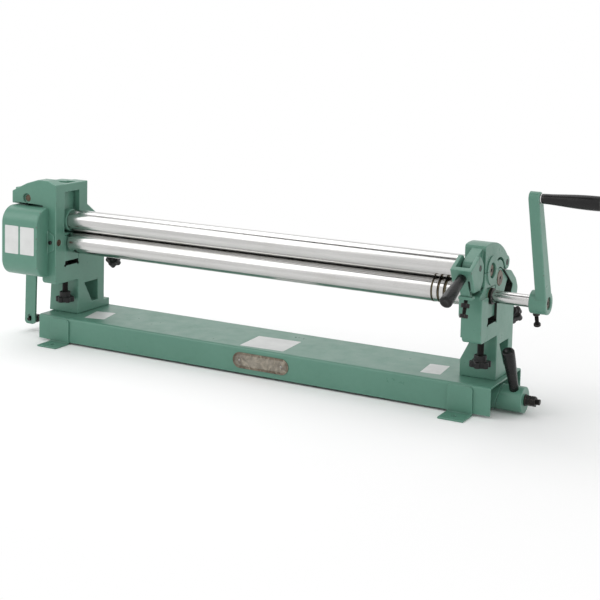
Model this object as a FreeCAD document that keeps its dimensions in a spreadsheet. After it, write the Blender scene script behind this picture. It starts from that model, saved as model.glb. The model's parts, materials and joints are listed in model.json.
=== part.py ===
import FreeCAD, Part
import math
import os

import Sketcher
from FreeCAD import Placement, Rotation, Vector

# A bench slip roll machine: a hand crank turns two geared rolls, and a third roll behind them curls
# the sheet. The row's frame has its origin on the bench, at the centre of the four foot bolts. X runs
# along the rolls towards the crank, Y towards the back and Z up. Every size is in millimetres.
SIZES = {
    # base channel and its feet
    "base_width": 182.0,
    "base_height": 58.0,
    "base_wall": 4.0,
    "base_bend": 6.0,
    "base_margin_left": -9.0,
    "base_margin_right": 11.0,
    "foot_thick": 5.0,
    "foot_plate": 4.0,
    "foot_wide": 54.0,
    "foot_reach": 52.0,
    "foot_rise": 59.0,
    "foot_inset": 36.5,
    "foot_round": 7.0,
    "foot_bolt_dia": 11.0,
    "foot_bolt_out": 28.0,
    # where the rolls lie
    "face_span": 1009.0,
    "low_axis": 242.5,
    "roll_dia": 50.8,
    "roll_gap": 0.9,
    "rear_back": 50.0,
    "rear_up": 28.0,
    "rear_angle": 36.0,
    # rolls
    "roll_start": 5.0,
    "end_play": 3.0,
    "journal_dia": 25.0,
    "rear_journal_dia": 32.0,
    "running": 0.08,
    "cap_clear": 0.5,
    "slide_clear": 0.3,
    "gear_end": 89.0,
    "crank_end": 116.0,
    "groove_first": 51.0,
    "groove_pitch": 14.0,
    "groove_radius": 3.2,
    "centre_hole": 3.0,
    # end frames
    "frame_thick": 40.0,
    "head_thick": 36.0,
    "block_recess": 1.0,
    "step_rise": 182.0,
    "front_reach": 61.0,
    "back_reach": 128.0,
    "leg_front": 32.0,
    "block_rise": 85.0,
    "right_block_rise": 93.0,
    "block_round": 10.0,
    "lug_reach": 22.0,
    "lug_rise": 18.0,
    "lug_margin": 7.5,
    "window_rise": 22.0,
    "window_top": 72.0,
    "window_back": 102.0,
    "crown_rise": 319.0,
    "crown_back": 59.0,
    "slope_top": 263.0,
    "slope_low": 214.0,
    "left_leg_out": 47.0,
    "left_leg_front": 25.0,
    "leg_draft": 5.0,
    "right_leg_in": 19.0,
    "right_foot_in": 38.0,
    "right_foot_rise": 34.0,
    "right_gusset_rise": 72.0,
    "ledge_drop": 43.0,
    "shelf_back": 46.0,
    "neck_back": 38.0,
    "neck_drop": 26.0,
    "finger_back": 43.5,
    "finger_drop": 13.2,
    "finger_radius": 28.0,
    "finger_start": 23.5,
    "pocket_radius": 33.0,
    "pocket_start": 19.5,
    "shoulder_back": 106.0,
    "shoulder_drop": 16.0,
    "boss_back": 149.0,
    "boss_drop": 58.0,
    "crest_back": 137.0,
    "crest_drop": 38.0,
    "boss_face": 107.0,
    "boss_half": 14.5,
    "pad_in": 8.5,
    "pad_deep": 15.0,
    "pad_drop": 87.0,
    "pad_low_in": 3.0,
    # adjusting blocks and their screws
    "block_half": 25.0,
    "block_above": 17.5,
    "block_below": 44.0,
    "travel_up": 0.4,
    "travel_down": 3.0,
    "slot_floor": 54.5,
    "bush_wall": 3.5,
    "rear_half": 20.5,
    "rear_tail": 43.0,
    "rear_slot_tail": 70.0,
    "rear_way_long": 90.0,
    "rear_travel_up": 3.0,
    "low_screw_dia": 14.0,
    "low_hub_top": 120.5,
    "low_hub_dia": 26.0,
    "low_hub_tall": 12.0,
    "low_knob_dia": 44.0,
    "low_knob_tall": 12.5,
    "rear_screw_dia": 12.0,
    "rear_hub_start": 159.0,
    "rear_hub_dia": 22.0,
    "rear_hub_tall": 10.0,
    "rear_knob_dia": 38.0,
    "rear_knob_tall": 18.0,
    "knob_lobe": 6.5,
    # trunnion at the gear end, which lets the top roll tilt
    "pivot_out": 87.0,
    "pivot_above": 50.8,
    "pivot_dia": 16.0,
    "pivot_recess": 22.0,
    "housing_out": 131.0,
    "housing_floor": 36.8,
    "housing_back_out": 109.0,
    "housing_wall": 33.0,
    "cheek_wall": 12.0,
    "trunnion_half": 26.0,
    "trunnion_side": 2.0,
    "trunnion_out": 127.0,
    "trunnion_base": 39.0,
    "trunnion_tall": 44.0,
    "arm_half": 25.0,
    "arm_start": 16.0,
    "arm_long": 37.0,
    "boss_proud": 3.0,
    "tail_out": 164.0,
    "tail_low": 36.0,
    "tail_high": 66.0,
    "opening_clear": 1.7,
    # lever bar and pull rod
    "bar_front": 32.0,
    "bar_thick": 6.0,
    "bar_wide": 32.0,
    "bar_lean": 9.0,
    "bar_top_out": 145.0,
    "bar_low": 17.0,
    "rod_back": 46.0,
    "rod_axis": 29.5,
    "rod_dia": 12.0,
    "rod_pin_dia": 8.0,
    "rod_pin_out": 153.7,
    "eye_thick": 15.0,
    "eye_wide": 30.0,
    "eye_tall": 18.0,
    "rod_end": 79.0,
    "guide_inset": 24.0,
    "guide_thick": 6.0,
    "guide_half": 30.0,
    "guide_low": 9.0,
    "nut_thick": 7.0,
    "rod_nut_thick": 9.5,
    "rod_washer": 2.5,
    # lift drum
    "drum_dia": 53.0,
    "drum_face": 48.0,
    "cam_mean": 3.0,
    "cam_rise": 6.25,
    "cam_gap": 0.4,
    "handle_lean": 27.0,
    "handle_root": 24.0,
    "lift_handle_tip": 125.0,
    "handle_small": 19.0,
    "handle_large": 25.0,
    # gears and their guard
    "gear_module": 3.0,
    "gear_teeth": 17,
    "gear_wide": 26.0,
    "gear_backlash": 0.7,
    "gear_hub_dia": 36.0,
    "guard_out": 125.0,
    "guard_over": 22.0,
    "guard_front": 104.0,
    "guard_back": 45.0,
    "guard_low": 165.0,
    "guard_high": 328.0,
    "guard_wall": 3.0,
    "guard_nose": 38.0,
    "guard_side": 16.0,
    "ear_wide": 18.0,
    "ear_tall": 54.0,
    # cap over the top roll's free end
    "ring_dia": 59.0,
    "ring_proud": 2.5,
    "ring_recess_dia": 31.0,
    "ring_recess": 8.0,
    "cap_front": 38.0,
    "cap_tall": 56.0,
    "cap_in": 8.0,
    "roll_clear": 2.0,
    "cap_nose_round": 9.0,
    "cap_crest_front": 8.0,
    "cap_arc": 140.0,
    "parting": 0.3,
    "hinge_back": 90.0,
    "hinge_up": 2.3,
    "hinge_radius": 14.3,
    "hinge_pin_dia": 12.0,
    "knuckle_wide": 21.0,
    "knuckle_gap": 0.5,
    # tongue, yoke and its screw
    "tongue_wide": 22.0,
    "tongue_round": 15.0,
    "yoke_pin_front": 75.0,
    "yoke_pin_up": 16.3,
    "yoke_pin_dia": 12.0,
    "yoke_wide": 44.0,
    "yoke_gap": 28.0,
    "yoke_top_front": 125.0,
    "yoke_top_up": 18.4,
    "yoke_foot_front": 92.0,
    "yoke_foot_drop": 44.2,
    "yoke_waist_drop": 3.2,
    "yoke_tongue_wide": 20.0,
    "yoke_cheek_drop": 26.7,
    "yoke_plate": 9.0,
    "flange_thick": 6.0,
    "flange_wide": 28.0,
    "flange_deep": 18.0,
    "catch_front": 86.0,
    "catch_wide": 20.0,
    "catch_low": 34.7,
    "catch_high": 22.0,
    "catch_gap": 3.5,
    "clamp_screw_dia": 8.0,
    "clamp_lean": 19.0,
    "clamp_tip_front": 86.5,
    "clamp_point_dia": 5.0,
    "clamp_point_long": 6.0,
    "clamp_screw_long": 47.0,
    "clamp_head_tall": 7.0,
    "clamp_head_wide": 16.0,
    "clamp_nut_wide": 16.0,
    "clamp_nut_tall": 8.0,
    "clamp_nut_gap": 7.0,
    "yoke_handle_long": 88.0,
    "yoke_handle_dip": 22.0,
    # crank
    "crank_radius": 228.0,
    "crank_lean": 19.5,
    "hub_dia": 46.0,
    "hub_long": 35.0,
    "arm_thick": 21.0,
    "arm_root": 18.0,
    "arm_tip": 12.5,
    "grip_gap": 3.0,
    "grip_long": 112.0,
    "grip_dia": 28.0,
    "grip_neck": 19.0,
    "spindle_dia": 10.0,
    "spindle_head": 15.0,
    "collar_dia": 33.0,
    "collar_long": 6.0,
    "set_screw_dia": 8.0,
    "set_screw_long": 37.5,
    "set_head_dia": 14.0,
    "set_head_tall": 5.0,
    "set_screw_in": 7.0,
    "set_nut_wide": 13.0,
    "set_nut_tall": 6.5,
    # name plate
    "plate_long": 139.0,
    "plate_tall": 35.0,
    "plate_thick": 1.6,
    "plate_shift": 43.0,
    "rivet_dia": 6.0,
    "frame_bolt_dia": 10.0,
    "bolt_spread": 13.0,
    "bolt_deep": 31.0,
}

PLANES = {"x": "YZ_Plane", "y": "XZ_Plane", "z": "XY_Plane"}
AXES = {"x": Vector(1, 0, 0), "y": Vector(0, 1, 0), "z": Vector(0, 0, 1)}

doc = FreeCAD.newDocument("slip_roll")
sheet = doc.addObject("Spreadsheet::Sheet", "Sizes")
for row, (alias, number) in enumerate(SIZES.items(), 1):
    sheet.set("A%d" % row, alias)
    sheet.set("B%d" % row, str(number))
    sheet.setAlias("B%d" % row, alias)
doc.recompute()


class Dim:
    """A length that carries both its number and the sheet expression it comes from."""

    def __init__(self, value, text):
        self.value = value
        self.text = text

    def __add__(self, other):
        return combine(self, "+", other, self.value + dim(other).value)

    def __radd__(self, other):
        return dim(other) + self

    def __sub__(self, other):
        return combine(self, "-", other, self.value - dim(other).value)

    def __rsub__(self, other):
        return dim(other) - self

    def __mul__(self, other):
        return combine(self, "*", other, self.value * dim(other).value)

    def __rmul__(self, other):
        return dim(other) * self

    def __truediv__(self, other):
        return combine(self, "/", other, self.value / dim(other).value)

    def __neg__(self):
        return dim(0) - self


def dim(number):
    return number if isinstance(number, Dim) else Dim(float(number), "(%r)" % float(number))


def combine(first, sign, second, value):
    return Dim(value, "(%s %s %s)" % (first.text, sign, dim(second).text))


def cosine(angle):
    return Dim(math.cos(math.radians(angle.value)), "cos(%s * 1 deg)" % angle.text)


def tangent(angle):
    return sine(angle) / cosine(angle)


def sine(angle):
    return Dim(math.sin(math.radians(angle.value)), "sin(%s * 1 deg)" % angle.text)


class Sheet:
    """Gives each size of the sheet as a Dim, by its alias."""

    def __getattr__(self, alias):
        return Dim(float(sheet.get(alias)), "Sizes.%s" % alias)


s = Sheet()


def bind(thing, prop, length):
    thing.setExpression(prop, dim(length).text)


def place(thing, point, rotation=Rotation()):
    x, y, z = (dim(value) for value in point)
    thing.Placement = Placement(Vector(x.value, y.value, z.value), rotation)
    for letter, value in zip("xyz", (x, y, z)):
        bind(thing, "Placement.Base." + letter, value)


def heading(direction):
    return AXES[direction] if isinstance(direction, str) else direction


def box(name, x, y, z):
    """A block between two values on each axis."""
    solid = doc.addObject("Part::Box", name)
    for prop, (low, high) in zip(("Length", "Width", "Height"), (x, y, z)):
        bind(solid, prop, dim(high) - low)
    place(solid, (x[0], y[0], z[0]))
    return solid


def cylinder(name, direction, start, radius, length):
    solid = doc.addObject("Part::Cylinder", name)
    bind(solid, "Radius", radius)
    bind(solid, "Height", length)
    place(solid, start, Rotation(AXES["z"], heading(direction)))
    return solid


def hexagon(name, direction, start, flats, length):
    solid = doc.addObject("Part::Prism", name)
    solid.Polygon = 6
    bind(solid, "Circumradius", dim(flats) / math.sqrt(3.0))
    bind(solid, "Height", length)
    place(solid, start, Rotation(AXES["z"], heading(direction)))
    return solid


def fuse(name, *solids):
    joined = doc.addObject("Part::MultiFuse", name)
    joined.Shapes = list(solids)
    joined.Refine = True
    return joined


def cut(name, solid, *tools):
    result = doc.addObject("Part::Cut", name)
    result.Base = solid
    result.Tool = tools[0] if len(tools) == 1 else fuse(name + "_tools", *tools)
    result.Refine = True
    return result


def common(name, first, second):
    result = doc.addObject("Part::MultiCommon", name)
    result.Shapes = [first, second]
    return result


def draw(sketch, points):
    """A closed outline whose corners are all tied to the sheet."""
    points = [(dim(u), dim(v)) for u, v in points]
    for index, (u, v) in enumerate(points):
        after = points[(index + 1) % len(points)]
        line = Part.LineSegment(Vector(u.value, v.value, 0), Vector(after[0].value, after[1].value, 0))
        sketch.addGeometry(line, False)
    for index in range(len(points)):
        sketch.addConstraint(Sketcher.Constraint("Coincident", index, 2, (index + 1) % len(points), 1))
    for index, (u, v) in enumerate(points):
        for kind, axis, value in (("DistanceX", -2, u), ("DistanceY", -1, v)):
            if value.value == 0:
                sketch.addConstraint(Sketcher.Constraint("PointOnObject", index, 1, axis))
            else:
                number = sketch.addConstraint(Sketcher.Constraint(kind, -1, 1, index, 1, value.value))
                sketch.setExpression("Constraints[%d]" % number, value.text)


def new_sketch(body, axis, offset):
    sketch = body.newObject("Sketcher::SketchObject", body.Name + "_outline")
    plane = next(item for item in body.Origin.OriginFeatures if item.Role == PLANES[axis])
    sketch.AttachmentSupport = [(plane, "")]
    sketch.MapMode = "FlatFace"
    sketch.AttachmentOffset = Placement(Vector(0, 0, offset.value), Rotation())
    bind(sketch, "AttachmentOffset.Base.z", offset)
    return sketch


def prism(name, axis, points, low, high, rounds=()):
    """An outline padded along an axis; rounds holds a corner of the outline and its radius."""
    low, high = dim(low), dim(high)
    body = doc.addObject("PartDesign::Body", name)
    sketch = new_sketch(body, axis, -high if axis == "y" else low)
    draw(sketch, points)
    pad = body.newObject("PartDesign::Pad", name + "_pad")
    pad.Profile = sketch
    pad.Length = high.value - low.value
    bind(pad, "Length", high - low)
    for number, (corner, radius) in enumerate(rounds):
        doc.recompute()
        before = body.Tip
        fillet = body.newObject("PartDesign::Fillet", "%s_round_%d" % (name, number))
        fillet.Base = (before, [corner_edge(before.Shape, axis, corner)])
        fillet.Radius = dim(radius).value
        bind(fillet, "Radius", radius)
    return body


def corner_edge(shape, axis, corner):
    """The straight edge along an axis that passes nearest to a corner of the outline."""
    seen = {"x": (1, 2), "y": (0, 2), "z": (0, 1)}[axis]
    target = [dim(value).value for value in corner]
    best, best_gap = None, None
    for number, edge in enumerate(shape.Edges, 1):
        ends = [vertex.Point for vertex in edge.Vertexes]
        if len(ends) != 2 or (ends[1] - ends[0]).normalize().cross(AXES[axis]).Length > 1e-6:
            continue
        gap = math.dist([ends[0][index] for index in seen], target)
        if best_gap is None or gap < best_gap:
            best, best_gap = "Edge%d" % number, gap
    return best


def turned(name, direction, start, profile):
    """A solid of revolution; profile lists its radius and its distance along the direction."""
    body = doc.addObject("PartDesign::Body", name)
    sketch = new_sketch(body, "y", dim(0))
    draw(sketch, profile)
    spin = body.newObject("PartDesign::Revolution", name + "_spin")
    spin.Profile = sketch
    spin.ReferenceAxis = (sketch, ["V_Axis"])
    spin.Angle = 360.0
    place(body, start, Rotation(AXES["z"], heading(direction)))
    return body


# Places that several pieces share.
base_half = (s.face_span + s.frame_thick * 2 + s.left_leg_out + s.base_margin_left + s.base_margin_right) / 2
left_in = s.base_margin_left + s.left_leg_out + s.frame_thick - base_half
left_out = left_in - s.frame_thick
right_in = left_in + s.face_span
right_out = right_in + s.frame_thick
head_out = right_in + s.head_thick
right_mid = right_in + s.head_thick / 2
block_out = head_out - s.block_recess
shaft_reach = s.end_play + s.head_thick
left_mid = left_in - s.frame_thick / 2
deck = s.foot_thick + s.base_height
line = s.base_width / 2 - s.lug_margin - s.lug_reach - s.back_reach
front = line - s.front_reach
back = line + s.back_reach
low_z = s.low_axis
top_z = low_z + s.roll_dia + s.roll_gap
rear_y = line + s.rear_back
rear_z = low_z + s.rear_up
along_y = cosine(s.rear_angle)
along_z = -sine(s.rear_angle)
rear_way = Vector(0, along_y.value, along_z.value)
rolls_start = left_in + s.roll_start
rolls_end = right_in - s.end_play
bore = s.journal_dia / 2 + s.running
bush_out = s.journal_dia / 2 + s.bush_wall
pivot_x = left_in - s.pivot_out
pivot_z = top_z + s.pivot_above
rod_y = line + s.rod_back
frame_ends = {"left": (left_out, left_in, left_mid), "right": (right_in, right_out, right_mid)}
block_ends = {"left": (left_out, left_in, left_mid), "right": (right_in, block_out, right_mid)}


def rear_point(distance, across=0):
    """A point beside the rear roll's axis: down its inclined slot, and square to that way."""
    y = rear_y + distance * along_y - across * along_z
    return y, rear_z + distance * along_z + across * along_y


# ---------------------------------------------------------------- base and feet


def make_base():
    half, wall = s.base_width / 2, s.base_wall
    low = s.foot_thick
    channel = prism(
        "base_fold", "x",
        [(-half, low), (-half, deck), (half, deck), (half, low),
         (half - wall, low), (half - wall, deck - wall), (wall - half, deck - wall), (wall - half, low)],
        -base_half, base_half,
        [((-half, deck), s.base_bend), ((half, deck), s.base_bend)])
    holes = [cylinder("base_hole_%d" % number, "z", (x, y, deck - wall - 1), s.frame_bolt_dia / 2 + 0.5, wall + 2)
             for number, (x, y) in enumerate(frame_bolt_places())]
    return cut("base_channel", channel, *holes)


def frame_bolt_places():
    """Two bolts up into each leg from below, and one down through the lug behind it."""
    places = []
    for x in (left_mid - s.bolt_spread / 2, left_mid + s.bolt_spread, right_in - s.bolt_spread,
              right_in + s.bolt_spread / 2):
        places.append((x, line + s.leg_front + 16))
    places.insert(2, (left_mid, back + s.lug_reach / 2))
    places.append((right_mid, back + s.lug_reach / 2))
    return places


def make_feet():
    half = s.base_width / 2
    for x_name, x_side in (("left", -1), ("right", 1)):
        outer = x_side * (base_half - s.foot_inset)
        inner = outer - x_side * s.foot_wide
        low, high = (outer, inner) if x_side < 0 else (inner, outer)
        for y_name, y_side in (("front", -1), ("back", 1)):
            face, thick = y_side * half, y_side * s.foot_plate
            tip = face + y_side * s.foot_reach
            name = "foot_%s_%s" % (y_name, x_name)
            bracket = prism(
                name + "_bend", "x",
                [(face, 0), (face, s.foot_rise), (face + thick, s.foot_rise),
                 (face + thick, s.foot_plate), (tip, s.foot_plate), (tip, 0)],
                low, high)
            hole = cylinder(name + "_hole", "z", ((low + high) / 2, face + y_side * s.foot_bolt_out, -1),
                            s.foot_bolt_dia / 2, s.foot_plate + 2)
            upstand = prism(
                name + "_upstand", "y",
                [(low, 0), (low, s.foot_rise), (high, s.foot_rise), (high, 0)],
                -s.base_width, s.base_width,
                [((low, s.foot_rise), s.foot_round), ((high, s.foot_rise), s.foot_round)])
            cut(name, common(name + "_shape", bracket, upstand), hole)


def make_name_plate():
    face = -s.base_width / 2
    middle = s.foot_thick + s.base_height / 2
    radius = s.plate_tall / 2
    reach = s.plate_long / 2 - radius
    parts = [box("plate_flat", (s.plate_shift - reach, s.plate_shift + reach), (face - s.plate_thick, face),
                 (middle - radius, middle + radius))]
    rivets = []
    for number, side in enumerate((-1, 1)):
        end = s.plate_shift + side * reach
        parts.append(cylinder("plate_end_%d" % number, "y", (end, face - s.plate_thick, middle), radius,
                              s.plate_thick))
        rivets.append(cylinder("rivet_%d" % number, "y", (end, face - s.plate_thick - 1.5, middle),
                               s.rivet_dia / 2, 1.5))
    fuse("name_plate", *parts)
    fuse("plate_rivets", *rivets)


# ---------------------------------------------------------------- end frames


def frame_cuts(side):
    """The slots, screw holes and leg window that both end frames have."""
    low, high, middle = frame_ends[side]
    low, high = low - s.left_leg_out - 10, high + 10
    half = s.block_half + s.slide_clear
    tools = [box(side + "_low_slot", (low, high), (line - half, line + half),
                 (low_z - s.slot_floor, low_z + s.block_above + s.travel_up + s.slide_clear))]
    for number, sign in enumerate((-1, 1)):
        tools.append(cylinder("%s_relief_%d" % (side, number), "x",
                              (low, line + sign * (half - 1), low_z - s.slot_floor), 3.0, high - low))
    tools.append(cylinder(side + "_screw_way", "z", (middle, line, deck), s.low_screw_dia / 2
                          + s.slide_clear, low_z - s.slot_floor - deck + 1))
    half = s.rear_half + s.slide_clear
    nose = -s.rear_travel_up - s.slide_clear
    tools.append(prism(side + "_rear_slot", "x",
                       [rear_point(nose, -half), rear_point(s.rear_slot_tail, -half),
                        rear_point(s.rear_slot_tail, half), rear_point(nose, half)], low, high))
    nose_y, nose_z = rear_point(nose)
    tools.append(cylinder(side + "_rear_nose", "x", (low, nose_y, nose_z), half, high - low))
    way_y, way_z = rear_point(s.rear_slot_tail - 2)
    tools.append(cylinder(side + "_rear_way", rear_way, (middle, way_y, way_z),
                          s.rear_screw_dia / 2 + s.slide_clear, s.rear_way_long))
    near, far = line + s.leg_front, line + s.window_back
    tools.append(prism(side + "_window", "x",
                       [(near + 18, deck + s.window_top), (far, deck + s.window_top),
                        (far, deck + s.window_rise), (near + 48, deck + s.window_rise)], low, high))
    return tools


def rear_lug(side):
    low, high, _ = frame_ends[side]
    lug = box(side + "_lug", (low, high), (back - 5, back + s.lug_reach), (deck, deck + s.lug_rise))
    return lug


def bolt_taps(side):
    places = frame_bolt_places()[:3] if side == "left" else frame_bolt_places()[3:]
    return [cylinder("%s_tap_%d" % (side, number), "z", (x, y, deck - 1), s.frame_bolt_dia / 2, s.bolt_deep)
            for number, (x, y) in enumerate(places)]


def make_left_frame():
    low, high, _ = frame_ends["left"]
    crown = deck + s.crown_rise
    leg_face = line + s.left_leg_front
    plate = prism(
        "left_plate", "x",
        [(leg_face, deck), (leg_face, deck + s.block_rise), (front, deck + s.block_rise),
         (front, crown), (line + s.crown_back, crown), (line + s.crown_back, deck + s.slope_top),
         (back, deck + s.slope_low), (back, deck)],
        low, high, [((front, deck + s.block_rise), s.block_round)])
    leg_out = low - s.left_leg_out
    leg = prism(
        "left_leg", "y",
        [(leg_out, deck), (high, deck), (high, deck + s.block_rise), (leg_out + s.leg_draft, deck + s.block_rise)],
        leg_face, back)
    floor, out = top_z + s.housing_floor, left_in - s.housing_out
    shoulder = crown - 22
    front_wall = prism(
        "left_front_wall", "y",
        [(high, floor), (out, floor), (out, shoulder), (pivot_x, crown - 1), (pivot_x + 33, crown + 9),
         (high - 24, crown + 9), (high - 12, crown + 4), (high, crown)],
        front, front + s.housing_wall)
    back_out = left_in - s.housing_back_out
    back_wall = prism(
        "left_back_wall", "y",
        [(high, floor), (back_out, floor), (back_out, shoulder), (pivot_x + 8, crown - 2), (high, crown)],
        line + s.trunnion_half + s.trunnion_side, line + s.crown_back)
    body = fuse("left_body", plate, leg, front_wall, back_wall, rear_lug("left"))
    cavity_half = s.trunnion_half + s.trunnion_side
    opening = s.trunnion_half + s.opening_clear - 0.6
    tools = frame_cuts("left") + bolt_taps("left")
    tools.append(box("left_cavity", (out - 5, high - s.cheek_wall), (line - cavity_half, line + cavity_half),
                     (floor - 10, crown + 30)))
    tools.append(box("left_opening", (low - 5, high + 5), (line - opening, line + opening),
                     (top_z - s.trunnion_half - s.opening_clear, crown - 19)))
    tools.append(cylinder("left_pivot_way", "y", (pivot_x, front - 1, pivot_z), s.pivot_dia / 2,
                          s.crown_back + s.front_reach + 2))
    tools.append(cylinder("left_pivot_recess", "y", (pivot_x, front - 1, pivot_z), s.pivot_recess / 2, 7))
    tools.append(cylinder("left_plug_hole", "x", (high - 8, line - s.block_half - 23, low_z + 3.5), 8.0, 10))
    ear_x = left_in - s.guard_over + s.ear_wide / 2
    tools.append(cylinder("left_ear_tap", "y", (ear_x, front - 1, low_z + 5), 2.5, 16))
    cut("left_end_frame", body, *tools)
    cylinder("trunnion_pin", "y", (pivot_x, front + 6, pivot_z), s.pivot_dia / 2,
             s.crown_back + s.front_reach - 6)


def ring_half(name, top):
    """Half of the ring boss round the top roll's free end, above or below the parting."""
    disc = cylinder(name + "_disc", "x", (right_mid, line, top_z), s.ring_dia / 2,
                    s.head_thick / 2 + s.ring_proud)
    reach = s.ring_dia
    span = (top_z + s.parting, top_z + reach) if top else (top_z - reach, top_z)
    half = box(name + "_side", (right_mid - 1, head_out + s.ring_proud + 1),
               (line - reach, line + reach), span)
    return common(name, disc, half)


def saddle(name):
    """The bore and outer recess that the cap and the frame share."""
    way = cylinder(name + "_bore", "x", (right_in - 1, line, top_z), s.journal_dia / 2 + s.cap_clear,
                   s.head_thick + s.ring_proud + 2)
    recess = cylinder(name + "_recess", "x", (head_out + s.ring_proud - s.ring_recess, line, top_z),
                      s.ring_recess_dia / 2, s.ring_recess + 1)
    return [way, recess]


def hinge_point():
    return line + s.hinge_back, top_z + s.hinge_up


def boss_points():
    """The frame's back outline, down round the boss that the rear screw runs through."""
    top_y, top_z_ = rear_point(s.boss_face, s.boss_half)
    low_y, low_z_ = rear_point(s.boss_face, -s.boss_half)
    return [(line + s.shoulder_back, top_z - s.shoulder_drop), (line + s.crest_back, top_z - s.crest_drop),
            (line + s.boss_back, top_z - s.boss_drop),
            (top_y, top_z_), (low_y, low_z_), (back, low_z_ - 26), (back, deck)]


def make_right_frame():
    low, high, middle = frame_ends["right"]
    ledge = top_z - s.ledge_drop
    hinge_y, hinge_z = hinge_point()
    block_top = deck + s.right_block_rise
    foot = [(line + s.leg_front, deck), (line + s.leg_front, block_top), (front, block_top)]
    edge_y, edge_z = rear_point(0, s.rear_half)
    under_z = hinge_z - s.hinge_radius - 1.2
    behind = [(edge_y, edge_z), (hinge_y - 10, under_z - 0.5), (hinge_y, under_z)] + boss_points()
    rounds = [((front, block_top), s.block_round), (behind[3], 14.0), (behind[4], 26.0), (behind[5], 12.0)]
    head = prism(
        "right_head", "x",
        foot + [(front, ledge), (line - s.shelf_back, ledge + 6), (line - s.neck_back, top_z - s.neck_drop),
                (line - s.neck_back, top_z), (line + s.finger_start, top_z)] + behind,
        low, head_out, rounds + [((front, ledge), 4.0)])
    step = deck + s.step_rise
    plate = prism(
        "right_plate", "x",
        foot + [(front, step), (edge_y, step)] + behind,
        head_out - 2, high, rounds)
    pad_top = ledge - 1
    pad = box("right_pad", (low - s.pad_in, low + 1), (front, front + s.pad_deep), (top_z - s.pad_drop, pad_top))
    pad_low = box("right_pad_low", (low - s.pad_low_in, low + 1), (front, front + s.pad_deep),
                  (block_top + s.block_round, top_z - s.pad_drop))
    leg_in, foot_in = low - s.right_leg_in, low - s.right_foot_in
    leg = prism(
        "right_leg", "y",
        [(foot_in, deck), (high, deck), (high, block_top), (leg_in, block_top),
         (leg_in, deck + s.right_gusset_rise), (foot_in, deck + s.right_foot_rise)],
        line + s.leg_front, back)
    finger_disc = cylinder("right_finger_disc", "x", (low, line + s.finger_back, top_z - s.finger_drop),
                           s.finger_radius, s.head_thick)
    finger_side = box("right_finger_side", (low, head_out), (line + s.finger_start, back),
                      (top_z - s.finger_drop, top_z + s.finger_radius))
    finger = common("right_finger", finger_disc, finger_side)
    knuckle_low = middle - s.knuckle_wide / 2
    knuckle = cylinder("right_knuckle", "x", (knuckle_low, hinge_y, hinge_z), s.hinge_radius, s.knuckle_wide)
    stem = box("right_knuckle_stem", (knuckle_low, knuckle_low + s.knuckle_wide),
               (hinge_y - 9, hinge_y + 9), (hinge_z - s.hinge_radius - 10, hinge_z - 5))
    lug_y, lug_low = line - s.catch_front, top_z - s.catch_low
    lug_rise = (s.shelf_back - s.catch_front) * -0.3
    catch = prism(
        "right_catch", "x",
        [(lug_y, top_z - s.catch_high), (lug_y, lug_low + lug_rise * tangent(s.clamp_lean)),
         (lug_y + lug_rise, lug_low), (line - s.neck_back + 5, lug_low),
         (line - s.neck_back + 5, top_z - s.catch_high)],
        middle - s.catch_wide / 2, middle + s.catch_wide / 2)
    body = fuse("right_body", head, plate, pad, pad_low, leg, finger, knuckle, stem, catch,
                ring_half("right_ring", False), rear_lug("right"))
    pin_way = cylinder("right_hinge_way", "x", (low - 1, hinge_y, hinge_z), s.hinge_pin_dia / 2,
                       s.frame_thick + 2)
    tools = frame_cuts("right") + bolt_taps("right") + saddle("right_saddle") + [pin_way]
    cut("right_end_frame", body, *tools)
    cylinder("cap_hinge_pin", "x", (low, hinge_y, hinge_z), s.hinge_pin_dia / 2, s.head_thick)


def make_frame_bolts():
    bolts = []
    for number, (x, y) in enumerate(frame_bolt_places()):
        at_lug = number % 3 == 2
        flats = s.frame_bolt_dia * 1.7
        if at_lug:
            bolts.append(hexagon("bolt_head_%d" % number, "z", (x, y, deck + s.lug_rise), flats, 7))
            bolts.append(cylinder("bolt_shank_%d" % number, "z", (x, y, deck - s.base_wall - 6),
                                  s.frame_bolt_dia / 2, s.lug_rise + s.base_wall + 6.5))
            bolts.append(hexagon("bolt_nut_%d" % number, "z", (x, y, deck - s.base_wall - 8), flats, 8))
        else:
            bolts.append(hexagon("bolt_head_%d" % number, "z", (x, y, deck - s.base_wall - 7), flats, 7))
            bolts.append(cylinder("bolt_shank_%d" % number, "z", (x, y, deck - s.base_wall - 1),
                                  s.frame_bolt_dia / 2, s.base_wall + s.bolt_deep - 5))
    fuse("frame_bolts", *bolts)


# ---------------------------------------------------------------- rolls


def make_roll(name, y, z, left_reach, right_reach, journal, grooves):
    """A ground roll with a journal at each end and centre holes, and wire grooves where asked."""
    radius = s.roll_dia / 2
    start, end = rolls_start - left_reach, rolls_end + right_reach
    first, last = left_reach, left_reach + rolls_end - rolls_start
    whole = end - start
    shaft = turned(
        name + "_turned", "x", (start, y, z),
        [(0, 0), (journal - 1, 0), (journal, 1), (journal, first), (radius - 1, first), (radius, first + 1),
         (radius, last - 1), (radius - 1, last), (journal, last), (journal, whole - 1),
         (journal - 1, whole), (0, whole)])
    tools = [cylinder(name + "_centre_left", "x", (start, y, z), s.centre_hole, 5),
             cylinder(name + "_centre_right", "x", (end - 5, y, z), s.centre_hole, 5)]
    for number in range(grooves):
        ring = doc.addObject("Part::Torus", "%s_groove_%d" % (name, number))
        bind(ring, "Radius1", radius + s.groove_radius / 4)
        bind(ring, "Radius2", s.groove_radius * (1 - 0.2 * number))
        place(ring, (rolls_end - s.groove_first - number * s.groove_pitch, y, z), Rotation(AXES["z"], AXES["x"]))
        tools.append(ring)
    return cut(name, shaft, *tools)


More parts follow.
